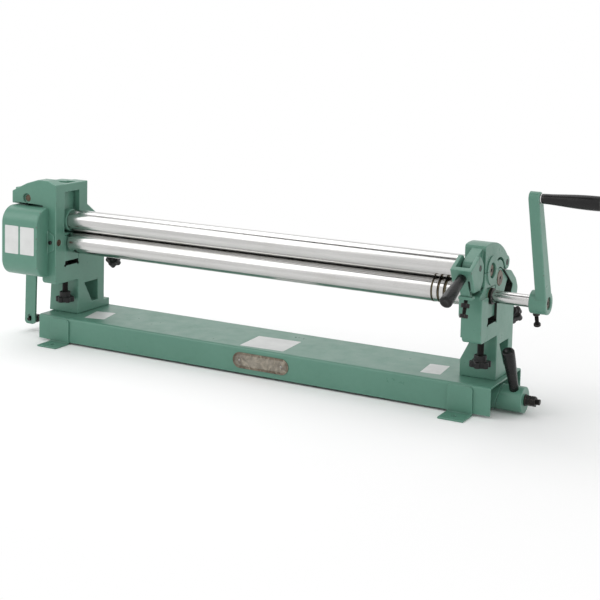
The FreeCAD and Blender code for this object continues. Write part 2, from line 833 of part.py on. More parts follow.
def gear(name, x, z, turn, hub):
    """A spur gear on the row's X axis, with involute flanks thinned by its backlash."""
    teeth, module = int(s.gear_teeth.value), s.gear_module.value
    pitch = teeth * module / 2
    pressure = math.radians(20)
    base_circle = pitch * math.cos(pressure)
    tip, root = pitch + module * 0.95, pitch - module * 1.3
    half_tooth = math.pi / (2 * teeth) - s.gear_backlash.value / (2 * pitch)
    involute = math.tan(pressure) - pressure

    def flank(radius):
        angle = math.acos(base_circle / radius)
        return half_tooth + involute - (math.tan(angle) - angle)

    radii = [base_circle + (tip - base_circle) * step / 4 for step in range(5)]
    edges = []
    centre = Vector(x.value, line.value, z.value)

    def at(radius, angle):
        return centre + Vector(0, radius * math.sin(angle), radius * math.cos(angle))

    for tooth in range(teeth):
        middle = turn + 2 * math.pi * tooth / teeth
        rise = [at(root, middle - flank(radii[0]))] + [at(r, middle - flank(r)) for r in radii]
        fall = [at(r, middle + flank(r)) for r in reversed(radii)] + [at(root, middle + flank(radii[0]))]
        following = at(root, middle + 2 * math.pi / teeth - flank(radii[0]))
        points = rise + fall + [following]
        edges += [Part.LineSegment(a, b).toShape() for a, b in zip(points, points[1:])]
    disc = Part.Face(Part.Wire(edges)).extrude(Vector(s.gear_wide.value, 0, 0))
    start = x + s.gear_wide
    boss = Part.makeCylinder(s.gear_hub_dia.value / 2, hub.value, Vector(start.value, centre.y, centre.z),
                             AXES["x"])
    way = Part.makeCylinder(s.journal_dia.value / 2, s.gear_wide.value + hub.value + 2,
                            Vector(x.value - 1, centre.y, centre.z), AXES["x"])
    feature = doc.addObject("Part::Feature", name)
    feature.Shape = disc.fuse(boss).cut(way).removeSplitter()
    return feature


def make_gear_train():
    """The two meshing gears, phased half a tooth apart, each held by a washer and a bolt."""
    x = rolls_start - s.gear_end - 1
    gap = left_out - (x + s.gear_wide)
    teeth = int(s.gear_teeth.value)
    gear("lower_gear", x, low_z, math.pi / teeth, gap - 1)
    top_hub = left_in - s.arm_start - s.arm_long - (x + s.gear_wide) - 1
    gear("top_gear", x, top_z, math.pi, top_hub)
    for name, z in (("lower_gear_bolt", low_z), ("top_gear_bolt", top_z)):
        washer = cylinder(name + "_washer", "x", (x - 3, line, z), s.journal_dia * 0.64, 3)
        head = hexagon(name + "_head", "x", (x - 10, line, z), 17.0, 7.5)
        shank = cylinder(name + "_shank", "x", (x - 4, line, z), s.centre_hole, 9)
        fuse(name, washer, head, shank)


# ---------------------------------------------------------------- adjusting blocks and screws


def knob(name, direction, start, radius, tall, lobes=6):
    """A lobed hand knob: a round core with lobes about its rim."""
    way = heading(direction)
    core = cylinder(name + "_core", direction, start, radius - s.knob_lobe * 0.75, tall)
    side = way.cross(AXES["x"]).normalize() if abs(way.x) < 0.9 else AXES["y"]
    other = way.cross(side)
    solids = [core]
    for number in range(lobes):
        angle = 2 * math.pi * number / lobes
        aim = side * math.cos(angle) + other * math.sin(angle)
        out = radius - s.knob_lobe
        point = [dim(value) + out * share for value, share in zip(start, aim)]
        solids.append(cylinder("%s_lobe_%d" % (name, number), direction, point, s.knob_lobe, tall))
    return solids


def make_lower_blocks():
    low = low_z - s.block_below
    for side, (x_low, x_high, middle) in block_ends.items():
        long = x_high - x_low
        block = box(side + "_low_block", (x_low, x_high), (line - s.block_half, line + s.block_half),
                    (low, low_z + s.block_above))
        way = cylinder(side + "_low_bore", "x", (x_low - 1, line, low_z), bush_out, long + 2)
        cut("lower_block_" + side, block, way)
        tube = cylinder(side + "_low_tube", "x", (x_low, line, low_z), bush_out, long)
        hole = cylinder(side + "_low_hole", "x", (x_low - 1, line, low_z), bore, long + 2)
        cut("lower_bush_" + side, tube, hole)
        hub_low = s.low_hub_top - s.low_hub_tall
        cylinder("lower_screw_" + side, "z", (middle, line, hub_low), s.low_screw_dia / 2,
                 low - s.running - hub_low)
        hub = cylinder(side + "_low_hub", "z", (middle, line, hub_low), s.low_hub_dia / 2, s.low_hub_tall)
        grip = knob(side + "_low_grip", "z", (middle, line, hub_low - s.low_knob_tall),
                    s.low_knob_dia / 2, s.low_knob_tall)
        solid = fuse(side + "_low_knob", hub, *grip)
        seat = cylinder(side + "_low_seat", "z", (middle, line, hub_low), s.low_screw_dia / 2,
                        s.low_hub_tall + 1)
        cut("lower_knob_" + side, solid, seat)


def make_rear_blocks():
    for side, (x_low, x_high, middle) in block_ends.items():
        long = x_high - x_low
        half = s.rear_half
        tail = prism(side + "_rear_tail", "x",
                     [rear_point(0, -half), rear_point(s.rear_tail, -half), rear_point(s.rear_tail, half),
                      rear_point(0, half)], x_low, x_high)
        nose = cylinder(side + "_rear_round", "x", (x_low, rear_y, rear_z), half, long)
        solid = fuse(side + "_rear_solid", tail, nose)
        way = cylinder(side + "_rear_bore", "x", (x_low - 1, rear_y, rear_z),
                       s.rear_journal_dia / 2 + s.running, long + 2)
        cut("rear_block_" + side, solid, way)
        screw_y, screw_z = rear_point(s.rear_tail + s.running)
        length = s.rear_hub_start + s.rear_hub_tall - s.rear_tail - s.running
        cylinder("rear_screw_" + side, rear_way, (middle, screw_y, screw_z), s.rear_screw_dia / 2, length)
        hub_y, hub_z = rear_point(s.rear_hub_start)
        hub = cylinder(side + "_rear_hub", rear_way, (middle, hub_y, hub_z), s.rear_hub_dia / 2, s.rear_hub_tall)
        grip_y, grip_z = rear_point(s.rear_hub_start + s.rear_hub_tall)
        grip = knob(side + "_rear_grip", rear_way, (middle, grip_y, grip_z), s.rear_knob_dia / 2,
                    s.rear_knob_tall, 5)
        seat = cylinder(side + "_rear_seat", rear_way, (middle, hub_y, hub_z), s.rear_screw_dia / 2,
                        s.rear_hub_tall)
        cut("rear_knob_" + side, fuse(side + "_rear_knob", hub, *grip), seat)


# ---------------------------------------------------------------- trunnion, lever bar and pull rod


def make_trunnion():
    right = left_in - s.arm_start
    left = left_in - s.trunnion_out
    base = top_z + s.trunnion_base
    crown = base + s.trunnion_tall
    head = prism(
        "trunnion_head", "y",
        [(left, base), (right, base), (right, crown - 10), (right - 18, crown), (pivot_x + 18, crown),
         (pivot_x - 22, crown - 14), (left, crown - 24)],
        line - s.trunnion_half, line + s.trunnion_half)
    arm_left = right - s.arm_long
    arm = box("trunnion_arm", (arm_left, right), (line - s.arm_half, line + s.arm_half), (top_z, base + 5))
    round_end = cylinder("trunnion_round", "x", (arm_left, line, top_z), s.arm_half, s.arm_long)
    boss = cylinder("trunnion_boss", "x", (right - 2, line, top_z), s.trunnion_half,
                    s.arm_start + s.boss_proud + 2)
    tail = box("trunnion_tail", (left_in - s.tail_out, left + 5), (line - 10, line + s.bar_front),
               (top_z + s.tail_low, top_z + s.tail_high))
    body = fuse("trunnion_solid", head, arm, round_end, boss, tail)
    bush_long = s.arm_long + s.arm_start + s.boss_proud
    tools = [cylinder("trunnion_bore", "x", (arm_left - 1, line, top_z), bush_out, bush_long + 2),
             cylinder("trunnion_pivot", "y", (pivot_x, line - 40, pivot_z), s.pivot_dia / 2 + s.running, 80)]
    tools += [cylinder("trunnion_tap_%d" % number, "y", (x, line + s.bar_front - 16, pivot_z), 5.0, 17)
              for number, x in enumerate(lever_bolt_places())]
    cut("trunnion_block", body, *tools)
    tube = cylinder("top_tube", "x", (arm_left, line, top_z), bush_out, bush_long)
    hole = cylinder("top_hole", "x", (arm_left - 1, line, top_z), bore, bush_long + 2)
    cut("top_bush", tube, hole)


def lever_bolt_places():
    middle = left_in - s.bar_top_out
    return [middle - 8, middle + 7]


def make_lever_bar():
    near = line + s.bar_front
    top = top_z + s.tail_high - 1
    middle = left_in - s.bar_top_out
    half = s.bar_wide / 2
    low_left = (middle - half - s.bar_lean, s.bar_low)
    low_right = (middle + half - s.bar_lean, s.bar_low)
    bar = prism("lever_blank", "y", [low_left, low_right, (middle + half, top), (middle - half, top)],
                near, near + s.bar_thick, [(low_left, 9.0), (low_right, 9.0)])
    pin_x = left_in - s.rod_pin_out
    way = s.rod_pin_dia / 2 + 0.5
    slot = [cylinder("lever_slot_low", "y", (pin_x, near - 1, s.rod_axis - 0.5), way, s.bar_thick + 2),
            cylinder("lever_slot_high", "y", (pin_x, near - 1, s.rod_axis + 3.5), way, s.bar_thick + 2),
            box("lever_slot_mid", (pin_x - way, pin_x + way), (near - 1, near + s.bar_thick + 1),
                (s.rod_axis - 0.5, s.rod_axis + 3.5))]
    holes = [cylinder("lever_hole_%d" % number, "y", (x, near - 1, pivot_z), 5.0, s.bar_thick + 2)
             for number, x in enumerate(lever_bolt_places())]
    cut("lever_bar", bar, *slot, *holes)
    bolts = []
    for number, x in enumerate(lever_bolt_places()):
        bolts.append(cylinder("lever_shank_%d" % number, "y", (x, near - 15, pivot_z), 5.0, 15 + s.bar_thick))
        bolts.append(hexagon("lever_head_%d" % number, "y", (x, near + s.bar_thick, pivot_z), 13.0, 6))
    fuse("lever_bolts", *bolts)


def make_pull_rod():
    pin_x = left_in - s.rod_pin_out
    eye_y = line + s.bar_front + s.bar_thick + 0.6
    eye_low = s.rod_axis - s.eye_tall / 2
    end = right_out + s.rod_end + 11
    eye = box("rod_eye", (pin_x - s.eye_wide / 2, pin_x + s.eye_wide / 2), (eye_y, eye_y + s.eye_thick),
              (eye_low, eye_low + s.eye_tall))
    shaft = cylinder("rod_shaft", "x", (pin_x, rod_y, s.rod_axis), s.rod_dia / 2, end - pin_x)
    way = cylinder("rod_eye_way", "y", (pin_x, eye_y - 1, s.rod_axis), s.rod_pin_dia / 2, s.eye_thick + 2)
    cut("pull_rod", fuse("rod_blank", eye, shaft), way)
    pin_front = line + s.bar_front - 6
    back_face = eye_y + s.eye_thick
    shank = cylinder("rod_pin_shank", "y", (pin_x, pin_front, s.rod_axis), s.rod_pin_dia / 2,
                     back_face - pin_front)
    head = cylinder("rod_pin_head", "y", (pin_x, back_face, s.rod_axis), s.rod_pin_dia * 0.8, 3)
    pierce = cylinder("rod_pin_hole", "z", (pin_x, pin_front + 2.5, s.rod_axis - 10), 1.1, 20)
    cut("rod_pin", fuse("rod_pin_blank", shank, head), pierce)
    leg = cylinder("cotter_leg", "z", (pin_x, pin_front + 2.5, s.rod_axis - 17), 1.1, 24)
    eyelet = doc.addObject("Part::Torus", "cotter_eye")
    bind(eyelet, "Radius1", 2.6)
    bind(eyelet, "Radius2", 1.0)
    place(eyelet, (pin_x, pin_front + 2.5, s.rod_axis + 9), Rotation(AXES["z"], AXES["y"]))
    fuse("cotter_pin", leg, eyelet)
    face = right_out + 11 + s.drum_face
    nuts = []
    for number in range(2):
        start = face + s.rod_washer + 0.4 + number * (s.rod_nut_thick + 0.8)
        nuts.append(cut("rod_nut_%d" % number,
                        hexagon("rod_nut_blank_%d" % number, "x", (start, rod_y, s.rod_axis), 19.0,
                                s.rod_nut_thick),
                        cylinder("rod_nut_way_%d" % number, "x", (start - 1, rod_y, s.rod_axis),
                                 s.rod_dia / 2, s.rod_nut_thick + 2)))
    washer = cylinder("rod_washer_disc", "x", (face + 0.4, rod_y, s.rod_axis), s.rod_dia, s.rod_washer)
    washer_way = cylinder("rod_washer_way", "x", (face, rod_y, s.rod_axis), s.rod_dia / 2, s.rod_washer + 1)
    fuse("rod_nuts", cut("rod_washer_ring", washer, washer_way), *nuts)


def make_rod_guides():
    places = {"left": 9 - base_half, "right": base_half - s.guide_inset - s.guide_thick}
    for side, x in places.items():
        plate = box(side + "_guide_plate", (x, x + s.guide_thick), (rod_y - s.guide_half, rod_y + s.guide_half),
                    (s.guide_low, deck - s.base_wall))
        way = cylinder(side + "_guide_way", "x", (x - 1, rod_y, s.rod_axis), s.rod_dia / 2 + s.slide_clear,
                       s.guide_thick + 2)
        cut("rod_guide_" + side, plate, way)


def cam_side(name, shift, ring_side):
    """The space on one side of the slanted plane where the fixed ring and the drum meet."""
    middle = base_half - s.cam_mean + shift
    reach = s.drum_dia * 0.6
    slope = s.cam_rise / (s.drum_dia / 2) * reach
    far = middle - s.drum_face - 12 if ring_side else middle + s.drum_face * 2
    return prism(name, "y",
                 [(middle - slope, s.rod_axis - reach), (middle + slope, s.rod_axis + reach),
                  (far, s.rod_axis + reach), (far, s.rod_axis - reach)],
                 rod_y - reach, rod_y + reach)


def make_lift():
    start = base_half - s.guide_inset
    ring = cylinder("cam_ring_blank", "x", (start, rod_y, s.rod_axis), s.drum_dia / 2, s.guide_inset + 6)
    ring_way = cylinder("cam_ring_way", "x", (start - 1, rod_y, s.rod_axis), s.rod_dia / 2 + s.slide_clear,
                        s.guide_inset + 9)
    cut("cam_ring", common("cam_ring_slant", ring, cam_side("cam_ring_side", dim(0), True)), ring_way)
    face = right_out + 11 + s.drum_face
    drum = cylinder("drum_blank", "x", (base_half - 12, rod_y, s.rod_axis), s.drum_dia / 2,
                    face - base_half + 12)
    drum_way = cylinder("drum_way", "x", (base_half - 14, rod_y, s.rod_axis), s.rod_dia / 2 + s.running,
                        face - base_half + 15)
    lean = s.handle_lean
    aim = Vector(0, -math.sin(math.radians(lean.value)), math.cos(math.radians(lean.value)))
    handle_x = face - 20
    root = (handle_x, rod_y - s.handle_root * sine(lean), s.rod_axis + s.handle_root * cosine(lean))
    socket = cylinder("drum_socket", aim, root, s.handle_small / 2, 20)
    cut("lift_drum", common("drum_slant", drum, cam_side("drum_side", s.cam_gap, False)), drum_way, socket)
    grip("lift_handle", aim, root, s.lift_handle_tip - s.handle_root, s.handle_small, s.handle_large)


def grip(name, direction, start, length, small, large):
    """A tapered plastic handle, widest near its tip, with its rim rounded."""
    thin, wide = small / 2, large / 2
    return turned(name, direction, start,
                  [(0, 0), (thin, 0), (thin, length * 0.12), (thin + (wide - thin) * 0.5, length * 0.45),
                   (wide, length * 0.8), (wide, length - 4), (wide - 1.2, length - 1.2), (wide - 4, length),
                   (0, length)])


# ---------------------------------------------------------------- gear guard


def guard_block(name, x, y_front, y_back, z, nose):
    low, high = z
    return prism(name, "x", [(y_front, low), (y_front, high), (y_back, high), (y_back, low)], x[0], x[1],
                 [((y_front, low), nose), ((y_front, high), nose)])


def make_guard():
    """A hollow cover round the gears, open where the end frame closes it."""
    wall = s.guard_wall
    out, over = left_in - s.guard_out, left_in - s.guard_over
    y_front, y_back = line - s.guard_front, line + s.guard_back
    z = (s.guard_low, s.guard_high)
    shell = guard_block("guard_outer", (out, over), y_front, y_back, z, s.guard_nose)
    hollow = guard_block("guard_inner", (out + wall, over - wall), y_front + wall, y_back - wall,
                         (z[0] + wall, z[1] - wall), s.guard_nose - wall)
    frame_space = box("guard_frame_space", (left_out, over + 1), (front, y_back + 1), (z[0] - 1, z[1] + 1))
    open_side = box("guard_open_side", (left_out - 10, over - wall), (front - 6, y_back - wall),
                    (z[0] + wall, z[1] - wall))
    arm_space = box("guard_arm_space", (left_in - s.arm_start - s.arm_long - 6, left_out + 1),
                    (line - s.arm_half - 4, line + s.arm_half + 4), (z[1] - wall - 1, z[1] + 1))
    cover = cut("guard_cover", shell, hollow, frame_space, open_side, arm_space)
    ear_z = low_z + 5
    root, end = s.ear_tall / 2, s.ear_tall / 3
    ear = prism(
        "guard_ear", "y",
        [(over - wall, ear_z - root), (over - wall, ear_z + root), (over + s.ear_wide, ear_z + end),
         (over + s.ear_wide, ear_z - end)],
        front - wall, front,
        [((over + s.ear_wide, ear_z + end), 7.0), ((over + s.ear_wide, ear_z - end), 7.0)])
    ear_x = over + s.ear_wide / 2
    way = cylinder("guard_ear_way", "y", (ear_x, front - 10, ear_z), 2.75, 12)
    cut("gear_guard", fuse("guard_solid", cover, ear), way)
    head = cylinder("guard_screw_head", "y", (ear_x, front - wall - 4, ear_z), 4.5, 4)
    shank = cylinder("guard_screw_shank", "y", (ear_x, front - wall - 1, ear_z), 2.5, 15)
    fuse("guard_screw", head, shank)


# ---------------------------------------------------------------- cap, yoke and clamp screw


def yoke_pin_point():
    return line - s.yoke_pin_front, top_z + s.yoke_pin_up


def make_cap():
    low, high, middle = right_in, head_out, right_mid
    base = top_z + s.parting
    crown = top_z + s.cap_tall
    hinge_y, hinge_z = hinge_point()
    pin_y, pin_z = yoke_pin_point()
    face = line - s.cap_front
    crest = line - s.cap_crest_front
    blank = prism(
        "cap_blank", "x",
        [(face, base), (face, crown), (hinge_y, crown), (hinge_y, hinge_z - 4), (hinge_y - 22, base)],
        low - s.cap_in, high, [((face, crown), s.cap_nose_round)])
    arc = cylinder("cap_arc_disc", "x", (low - s.cap_in, crest, crown - s.cap_arc), s.cap_arc,
                   s.head_thick + s.cap_in)
    dome = common("cap_dome", blank, arc)
    ears = cylinder("cap_ears", "x", (low, hinge_y, hinge_z), s.hinge_radius, s.head_thick)
    half_tongue = s.tongue_wide / 2
    tongue = prism(
        "cap_tongue", "x",
        [(face + 4, crown - 6), (face - 20, crown - 16), (pin_y - 9, pin_z + 12), (pin_y, pin_z - s.tongue_round),
         (face + 4, pin_z - s.tongue_round)],
        middle - half_tongue, middle + half_tongue)
    nose = cylinder("cap_nose", "x", (middle - half_tongue, pin_y, pin_z), s.tongue_round, s.tongue_wide)
    body = fuse("cap_solid", dome, ears, tongue, nose, ring_half("cap_ring", True))
    gap = s.knuckle_gap
    slot = box("cap_knuckle_slot", (middle - s.knuckle_wide / 2 - gap, middle + s.knuckle_wide / 2 + gap),
               (hinge_y - s.hinge_radius - 2, hinge_y + s.hinge_radius + 4),
               (hinge_z - s.hinge_radius - 2, hinge_z + s.hinge_radius + 4))
    inside = low - s.cap_in - 1
    pocket_disc = cylinder("cap_pocket_disc", "x", (inside, line + s.finger_back, top_z - s.finger_drop),
                           s.pocket_radius, s.head_thick + s.cap_in + 1 + s.slide_clear)
    pocket_side = box("cap_pocket_side", (inside, head_out + s.slide_clear),
                      (line + s.pocket_start, hinge_y), (top_z - s.finger_drop, top_z + s.pocket_radius))
    pocket = common("cap_pocket", pocket_disc, pocket_side)
    pivot = cylinder("cap_hinge_way", "x", (low - 1, hinge_y, hinge_z), s.hinge_pin_dia / 2 + s.running,
                     s.head_thick + 2)
    pin_way = cylinder("cap_pin_way", "x", (low, pin_y, pin_z), s.yoke_pin_dia / 2, s.head_thick)
    roll_space = cylinder("cap_roll_space", "x", (inside, line, top_z), s.roll_dia / 2 + s.roll_clear,
                          s.cap_in + 1)
    cut("top_roll_cap", body, slot, pocket, pivot, pin_way, roll_space, *saddle("cap_saddle"))
    cylinder("yoke_pin", "x", (middle - s.yoke_wide / 2, pin_y, pin_z), s.yoke_pin_dia / 2, s.yoke_wide)


def clamp_point(distance):
    """A point on the clamp screw's axis, down from the tip of the screw."""
    lean = s.clamp_lean
    tip_z = top_z - s.catch_low - s.catch_gap + 4
    return (right_mid, line - s.clamp_tip_front - distance * sine(lean), tip_z - distance * cosine(lean))


def make_yoke():
    middle = right_mid
    pin_y, pin_z = yoke_pin_point()
    head_y, head_z = line - s.yoke_top_front, top_z + s.yoke_top_up
    foot_y, foot_z = line - s.yoke_foot_front, top_z - s.yoke_foot_drop
    lean = (foot_y - head_y) / (head_z - foot_z)

    def face(z):
        return head_y + (head_z - z) * lean

    cheek_z = top_z - s.yoke_cheek_drop
    half, gap, plate = s.yoke_wide / 2, s.yoke_gap / 2, s.yoke_plate
    blank = prism(
        "yoke_blank", "x",
        [(head_y, head_z), (pin_y - 6, pin_z + 24), (pin_y + 3, pin_z + 21), (pin_y + 17, pin_z + 6),
         (pin_y + 18, pin_z - 10), (pin_y + 16, pin_z - 28), (pin_y + 2, cheek_z + 1), (face(cheek_z), cheek_z)],
        middle - half, middle + half,
        [((pin_y - 6, pin_z + 24), 5.0), ((pin_y + 17, pin_z + 6), 8.0), ((pin_y + 16, pin_z - 28), 12.0)])
    waist_z = top_z - s.yoke_waist_drop
    tongue_half = s.yoke_tongue_wide / 2
    tongue = prism(
        "yoke_tongue", "x",
        [(face(waist_z), waist_z), (face(foot_z), foot_z), (face(foot_z) + plate, foot_z),
         (face(waist_z) + plate, waist_z)],
        middle - tongue_half, middle + tongue_half)
    narrow = [prism("yoke_waist_%d" % number, "x",
                    [(face(waist_z) - 9, waist_z), (face(cheek_z) - 9, cheek_z - 5),
                     (face(cheek_z) + plate, cheek_z - 5), (face(waist_z) + plate, waist_z)],
                    middle + min(side * tongue_half, side * gap, key=lambda value: value.value),
                    middle + max(side * tongue_half, side * gap, key=lambda value: value.value))
              for number, side in enumerate((-1, 1))]
    flange = box("yoke_flange", (middle - s.flange_wide / 2, middle + s.flange_wide / 2),
                 (foot_y - 6, foot_y - 6 + s.flange_deep), (foot_z, foot_z + s.flange_thick))
    hollow = prism(
        "yoke_hollow", "x",
        [(face(cheek_z) + plate, cheek_z - 2), (head_y + plate + 1, head_z), (head_y + plate + 1, head_z + 60),
         (pin_y + 40, head_z + 60), (pin_y + 40, cheek_z - 2)],
        middle - gap, middle + gap)
    way = cylinder("yoke_pin_way", "x", (middle - half - 1, pin_y, pin_z), s.yoke_pin_dia / 2 + s.running,
                   s.yoke_wide + 2)
    lean_back = Vector(0, -math.sin(math.radians(s.clamp_lean.value)), -math.cos(math.radians(s.clamp_lean.value)))
    tap = cylinder("yoke_screw_way", lean_back, clamp_point(-2), s.clamp_screw_dia / 2, s.clamp_screw_long)
    cut("release_yoke", fuse("yoke_solid", cut("yoke_head", blank, hollow, *narrow), tongue, flange), way, tap)
    dip = s.yoke_handle_dip
    aim = Vector(0, -math.cos(math.radians(dip.value)), -math.sin(math.radians(dip.value)))
    root_z = head_z - 17
    root = (middle, face(root_z) - 0.5, root_z)
    blank = grip("yoke_handle_blank", aim, root, s.yoke_handle_long, s.handle_small, s.handle_large)
    behind = prism("yoke_handle_trim", "x",
                   [(foot_y, foot_z), (head_y, head_z), (head_y + 30, head_z + 30), (head_y + 60, foot_z)],
                   middle - half, middle + half)
    cut("yoke_handle", blank, behind)
    point = cylinder("clamp_point", lean_back, clamp_point(0), s.clamp_point_dia / 2, s.clamp_screw_long)
    shank = cylinder("clamp_shank", lean_back, clamp_point(s.clamp_point_long), s.clamp_screw_dia / 2,
                     s.clamp_screw_long - s.clamp_point_long)
    head = hexagon("clamp_head", lean_back, clamp_point(s.clamp_screw_long - s.clamp_head_tall),
                   s.clamp_head_wide, s.clamp_head_tall)
    fuse("clamp_screw", shank, point, head)
    nut_start = s.clamp_point_long + s.flange_thick + s.clamp_nut_gap
    nut = hexagon("clamp_nut_blank", lean_back, clamp_point(nut_start), s.clamp_nut_wide, s.clamp_nut_tall)
    nut_way = cylinder("clamp_nut_way", lean_back, clamp_point(nut_start - 1), s.clamp_screw_dia / 2,
                       s.clamp_nut_tall + 2)
    cut("clamp_jam_nut", nut, nut_way)


# ---------------------------------------------------------------- crank


def make_crank():
    face = rolls_end + shaft_reach + s.crank_end + 3
    hub_start = face - s.hub_long
    lean = s.crank_lean
    aim_y, aim_z = -sine(lean), cosine(lean)
    tip_y, tip_z = line + s.crank_radius * aim_y, low_z + s.crank_radius * aim_z
    hub = cylinder("crank_hub", "x", (hub_start, line, low_z), s.hub_dia / 2, s.hub_long)
    root, small = s.arm_root, s.arm_tip
    arm = prism(
        "crank_web", "x",
        [(line - root * aim_z, low_z + root * aim_y), (tip_y - small * aim_z, tip_z + small * aim_y),
         (tip_y + small * aim_z, tip_z - small * aim_y), (line + root * aim_z, low_z - root * aim_y)],
        face - s.arm_thick, face)
    end = cylinder("crank_end_boss", "x", (face - s.arm_thick, tip_y, tip_z), small, s.arm_thick)
    aim = Vector(0, aim_y.value, aim_z.value)
    down = aim * -1
    screw_x = hub_start + s.set_screw_in
    way = cylinder("crank_bore", "x", (hub_start - 1, line, low_z), s.journal_dia / 2, s.hub_long + 2)
    tap = cylinder("crank_tap", down, (screw_x, line - aim_y * 10, low_z - aim_z * 10),
                   s.set_screw_dia / 2, s.hub_dia / 2)
    spindle_way = cylinder("crank_spindle_way", "x", (face - s.arm_thick - 1, tip_y, tip_z),
                           s.spindle_dia / 2, s.arm_thick + 2)
    cut("crank_arm", fuse("crank_solid", hub, arm, end), way, tap, spindle_way)

    def below(distance):
        return screw_x, line - aim_y * distance, low_z - aim_z * distance

    seat = s.journal_dia / 2 + 0.2
    shank = cylinder("set_shank", down, below(seat), s.set_screw_dia / 2, s.set_screw_long)
    head = cylinder("set_head", down, below(seat + s.set_screw_long - 1), s.set_head_dia / 2, s.set_head_tall)
    fuse("crank_set_screw", shank, head)
    nut_start = s.hub_dia / 2 + 0.3
    nut = hexagon("crank_nut_blank", down, below(nut_start), s.set_nut_wide, s.set_nut_tall)
    nut_way = cylinder("crank_nut_way", down, below(nut_start - 2), s.set_screw_dia / 2, s.set_nut_tall + 4)
    cut("crank_jam_nut", nut, nut_way)

    grip_start = face + s.grip_gap
    blank = turned(
        "crank_grip_blank", "x", (grip_start, tip_y, tip_z),
        [(0, 0), (s.grip_neck / 2 - 1, 0), (s.grip_neck / 2, 1), (s.grip_neck / 2 + 1.5, s.grip_long * 0.25),
         (s.grip_dia / 2 - 0.6, s.grip_long * 0.65), (s.grip_dia / 2, s.grip_long * 0.85),
         (s.grip_dia / 2, s.grip_long - 4), (s.grip_dia / 2 - 1.2, s.grip_long - 1.2),
         (s.grip_dia / 2 - 4, s.grip_long), (0, s.grip_long)])
    grip_way = cylinder("grip_way", "x", (grip_start - 1, tip_y, tip_z), s.spindle_dia / 2 + s.running,
                        s.grip_long + 2)
    recess = 7.0
    head_space = cylinder("grip_recess", "x", (grip_start + s.grip_long - recess, tip_y, tip_z),
                          s.spindle_head / 2 + 0.5, recess + 1)
    cut("crank_grip", blank, grip_way, head_space)
    spindle_start = face - s.arm_thick
    spindle = cylinder("spindle_shank", "x", (spindle_start, tip_y, tip_z), s.spindle_dia / 2,
                       s.arm_thick + s.grip_gap + s.grip_long - 2)
    collar = cylinder("spindle_collar", "x", (face, tip_y, tip_z), s.grip_neck / 2, s.grip_gap - 0.4)
    cap = cylinder("spindle_head_disc", "x", (grip_start + s.grip_long - recess + 0.4, tip_y, tip_z),
                   s.spindle_head / 2, recess - 2)
    fuse("grip_spindle", spindle, collar, cap)
    ring = cylinder("collar_blank", "x", (block_out + 0.5, line, low_z), s.collar_dia / 2, s.collar_long)
    ring_way = cylinder("collar_way", "x", (block_out, line, low_z), s.journal_dia / 2, s.collar_long + 2)
    cut("shaft_collar", ring, ring_way)


# ---------------------------------------------------------------- the assembly

NODES = (
    "base_channel foot_front_left foot_front_right foot_back_left foot_back_right left_end_frame "
    "right_end_frame frame_bolts gear_guard guard_screw name_plate plate_rivets cap_hinge_pin "
    "trunnion_pin rod_guide_left rod_guide_right cam_ring lower_block_left lower_block_right "
    "lower_bush_left lower_bush_right lower_roll lower_gear lower_gear_bolt shaft_collar crank_arm "
    "crank_set_screw crank_jam_nut grip_spindle crank_grip lower_screw_left lower_screw_right "
    "lower_knob_left lower_knob_right rear_block_left rear_block_right rear_roll rear_screw_left "
    "rear_screw_right rear_knob_left rear_knob_right trunnion_block top_bush lever_bar lever_bolts "
    "top_roll top_gear top_gear_bolt top_roll_cap yoke_pin release_yoke yoke_handle clamp_screw "
    "clamp_jam_nut pull_rod rod_pin cotter_pin rod_nuts lift_drum lift_handle"
).split()

make_base()
make_feet()
make_name_plate()
make_left_frame()
make_right_frame()
make_frame_bolts()
make_roll("lower_roll", line, low_z, s.gear_end, shaft_reach + s.crank_end, s.journal_dia / 2, 3)
make_roll("top_roll", line, top_z, s.gear_end, shaft_reach - 1, s.journal_dia / 2, 0)
make_roll("rear_roll", rear_y, rear_z, s.roll_start + s.frame_thick, shaft_reach, s.rear_journal_dia / 2, 3)
make_gear_train()
make_lower_blocks()
make_rear_blocks()
make_trunnion()
make_lever_bar()
make_pull_rod()
make_rod_guides()
make_lift()
make_guard()
make_cap()
make_yoke()
make_crank()
doc.recompute()

faults = []
for item in doc.Objects:
    if "Invalid" in item.State or "Error" in item.State:
        faults.append("%s is %s" % (item.Name, item.State))
for name in NODES:
    shape = doc.getObject(name).Shape
    if shape.isNull() or not shape.isValid() or not shape.Solids:
        faults.append("%s has no valid solid" % name)
if faults:
    raise RuntimeError("\n".join(faults))

os.makedirs("parts", exist_ok=True)
for name in NODES:
    doc.getObject(name).Label = name
    doc.getObject(name).Shape.exportStep(os.path.join("parts", name + ".step"))
print("%d parts written" % len(NODES))
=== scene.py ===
import json
import math

import bmesh
import bpy
from mathutils import Matrix, Vector

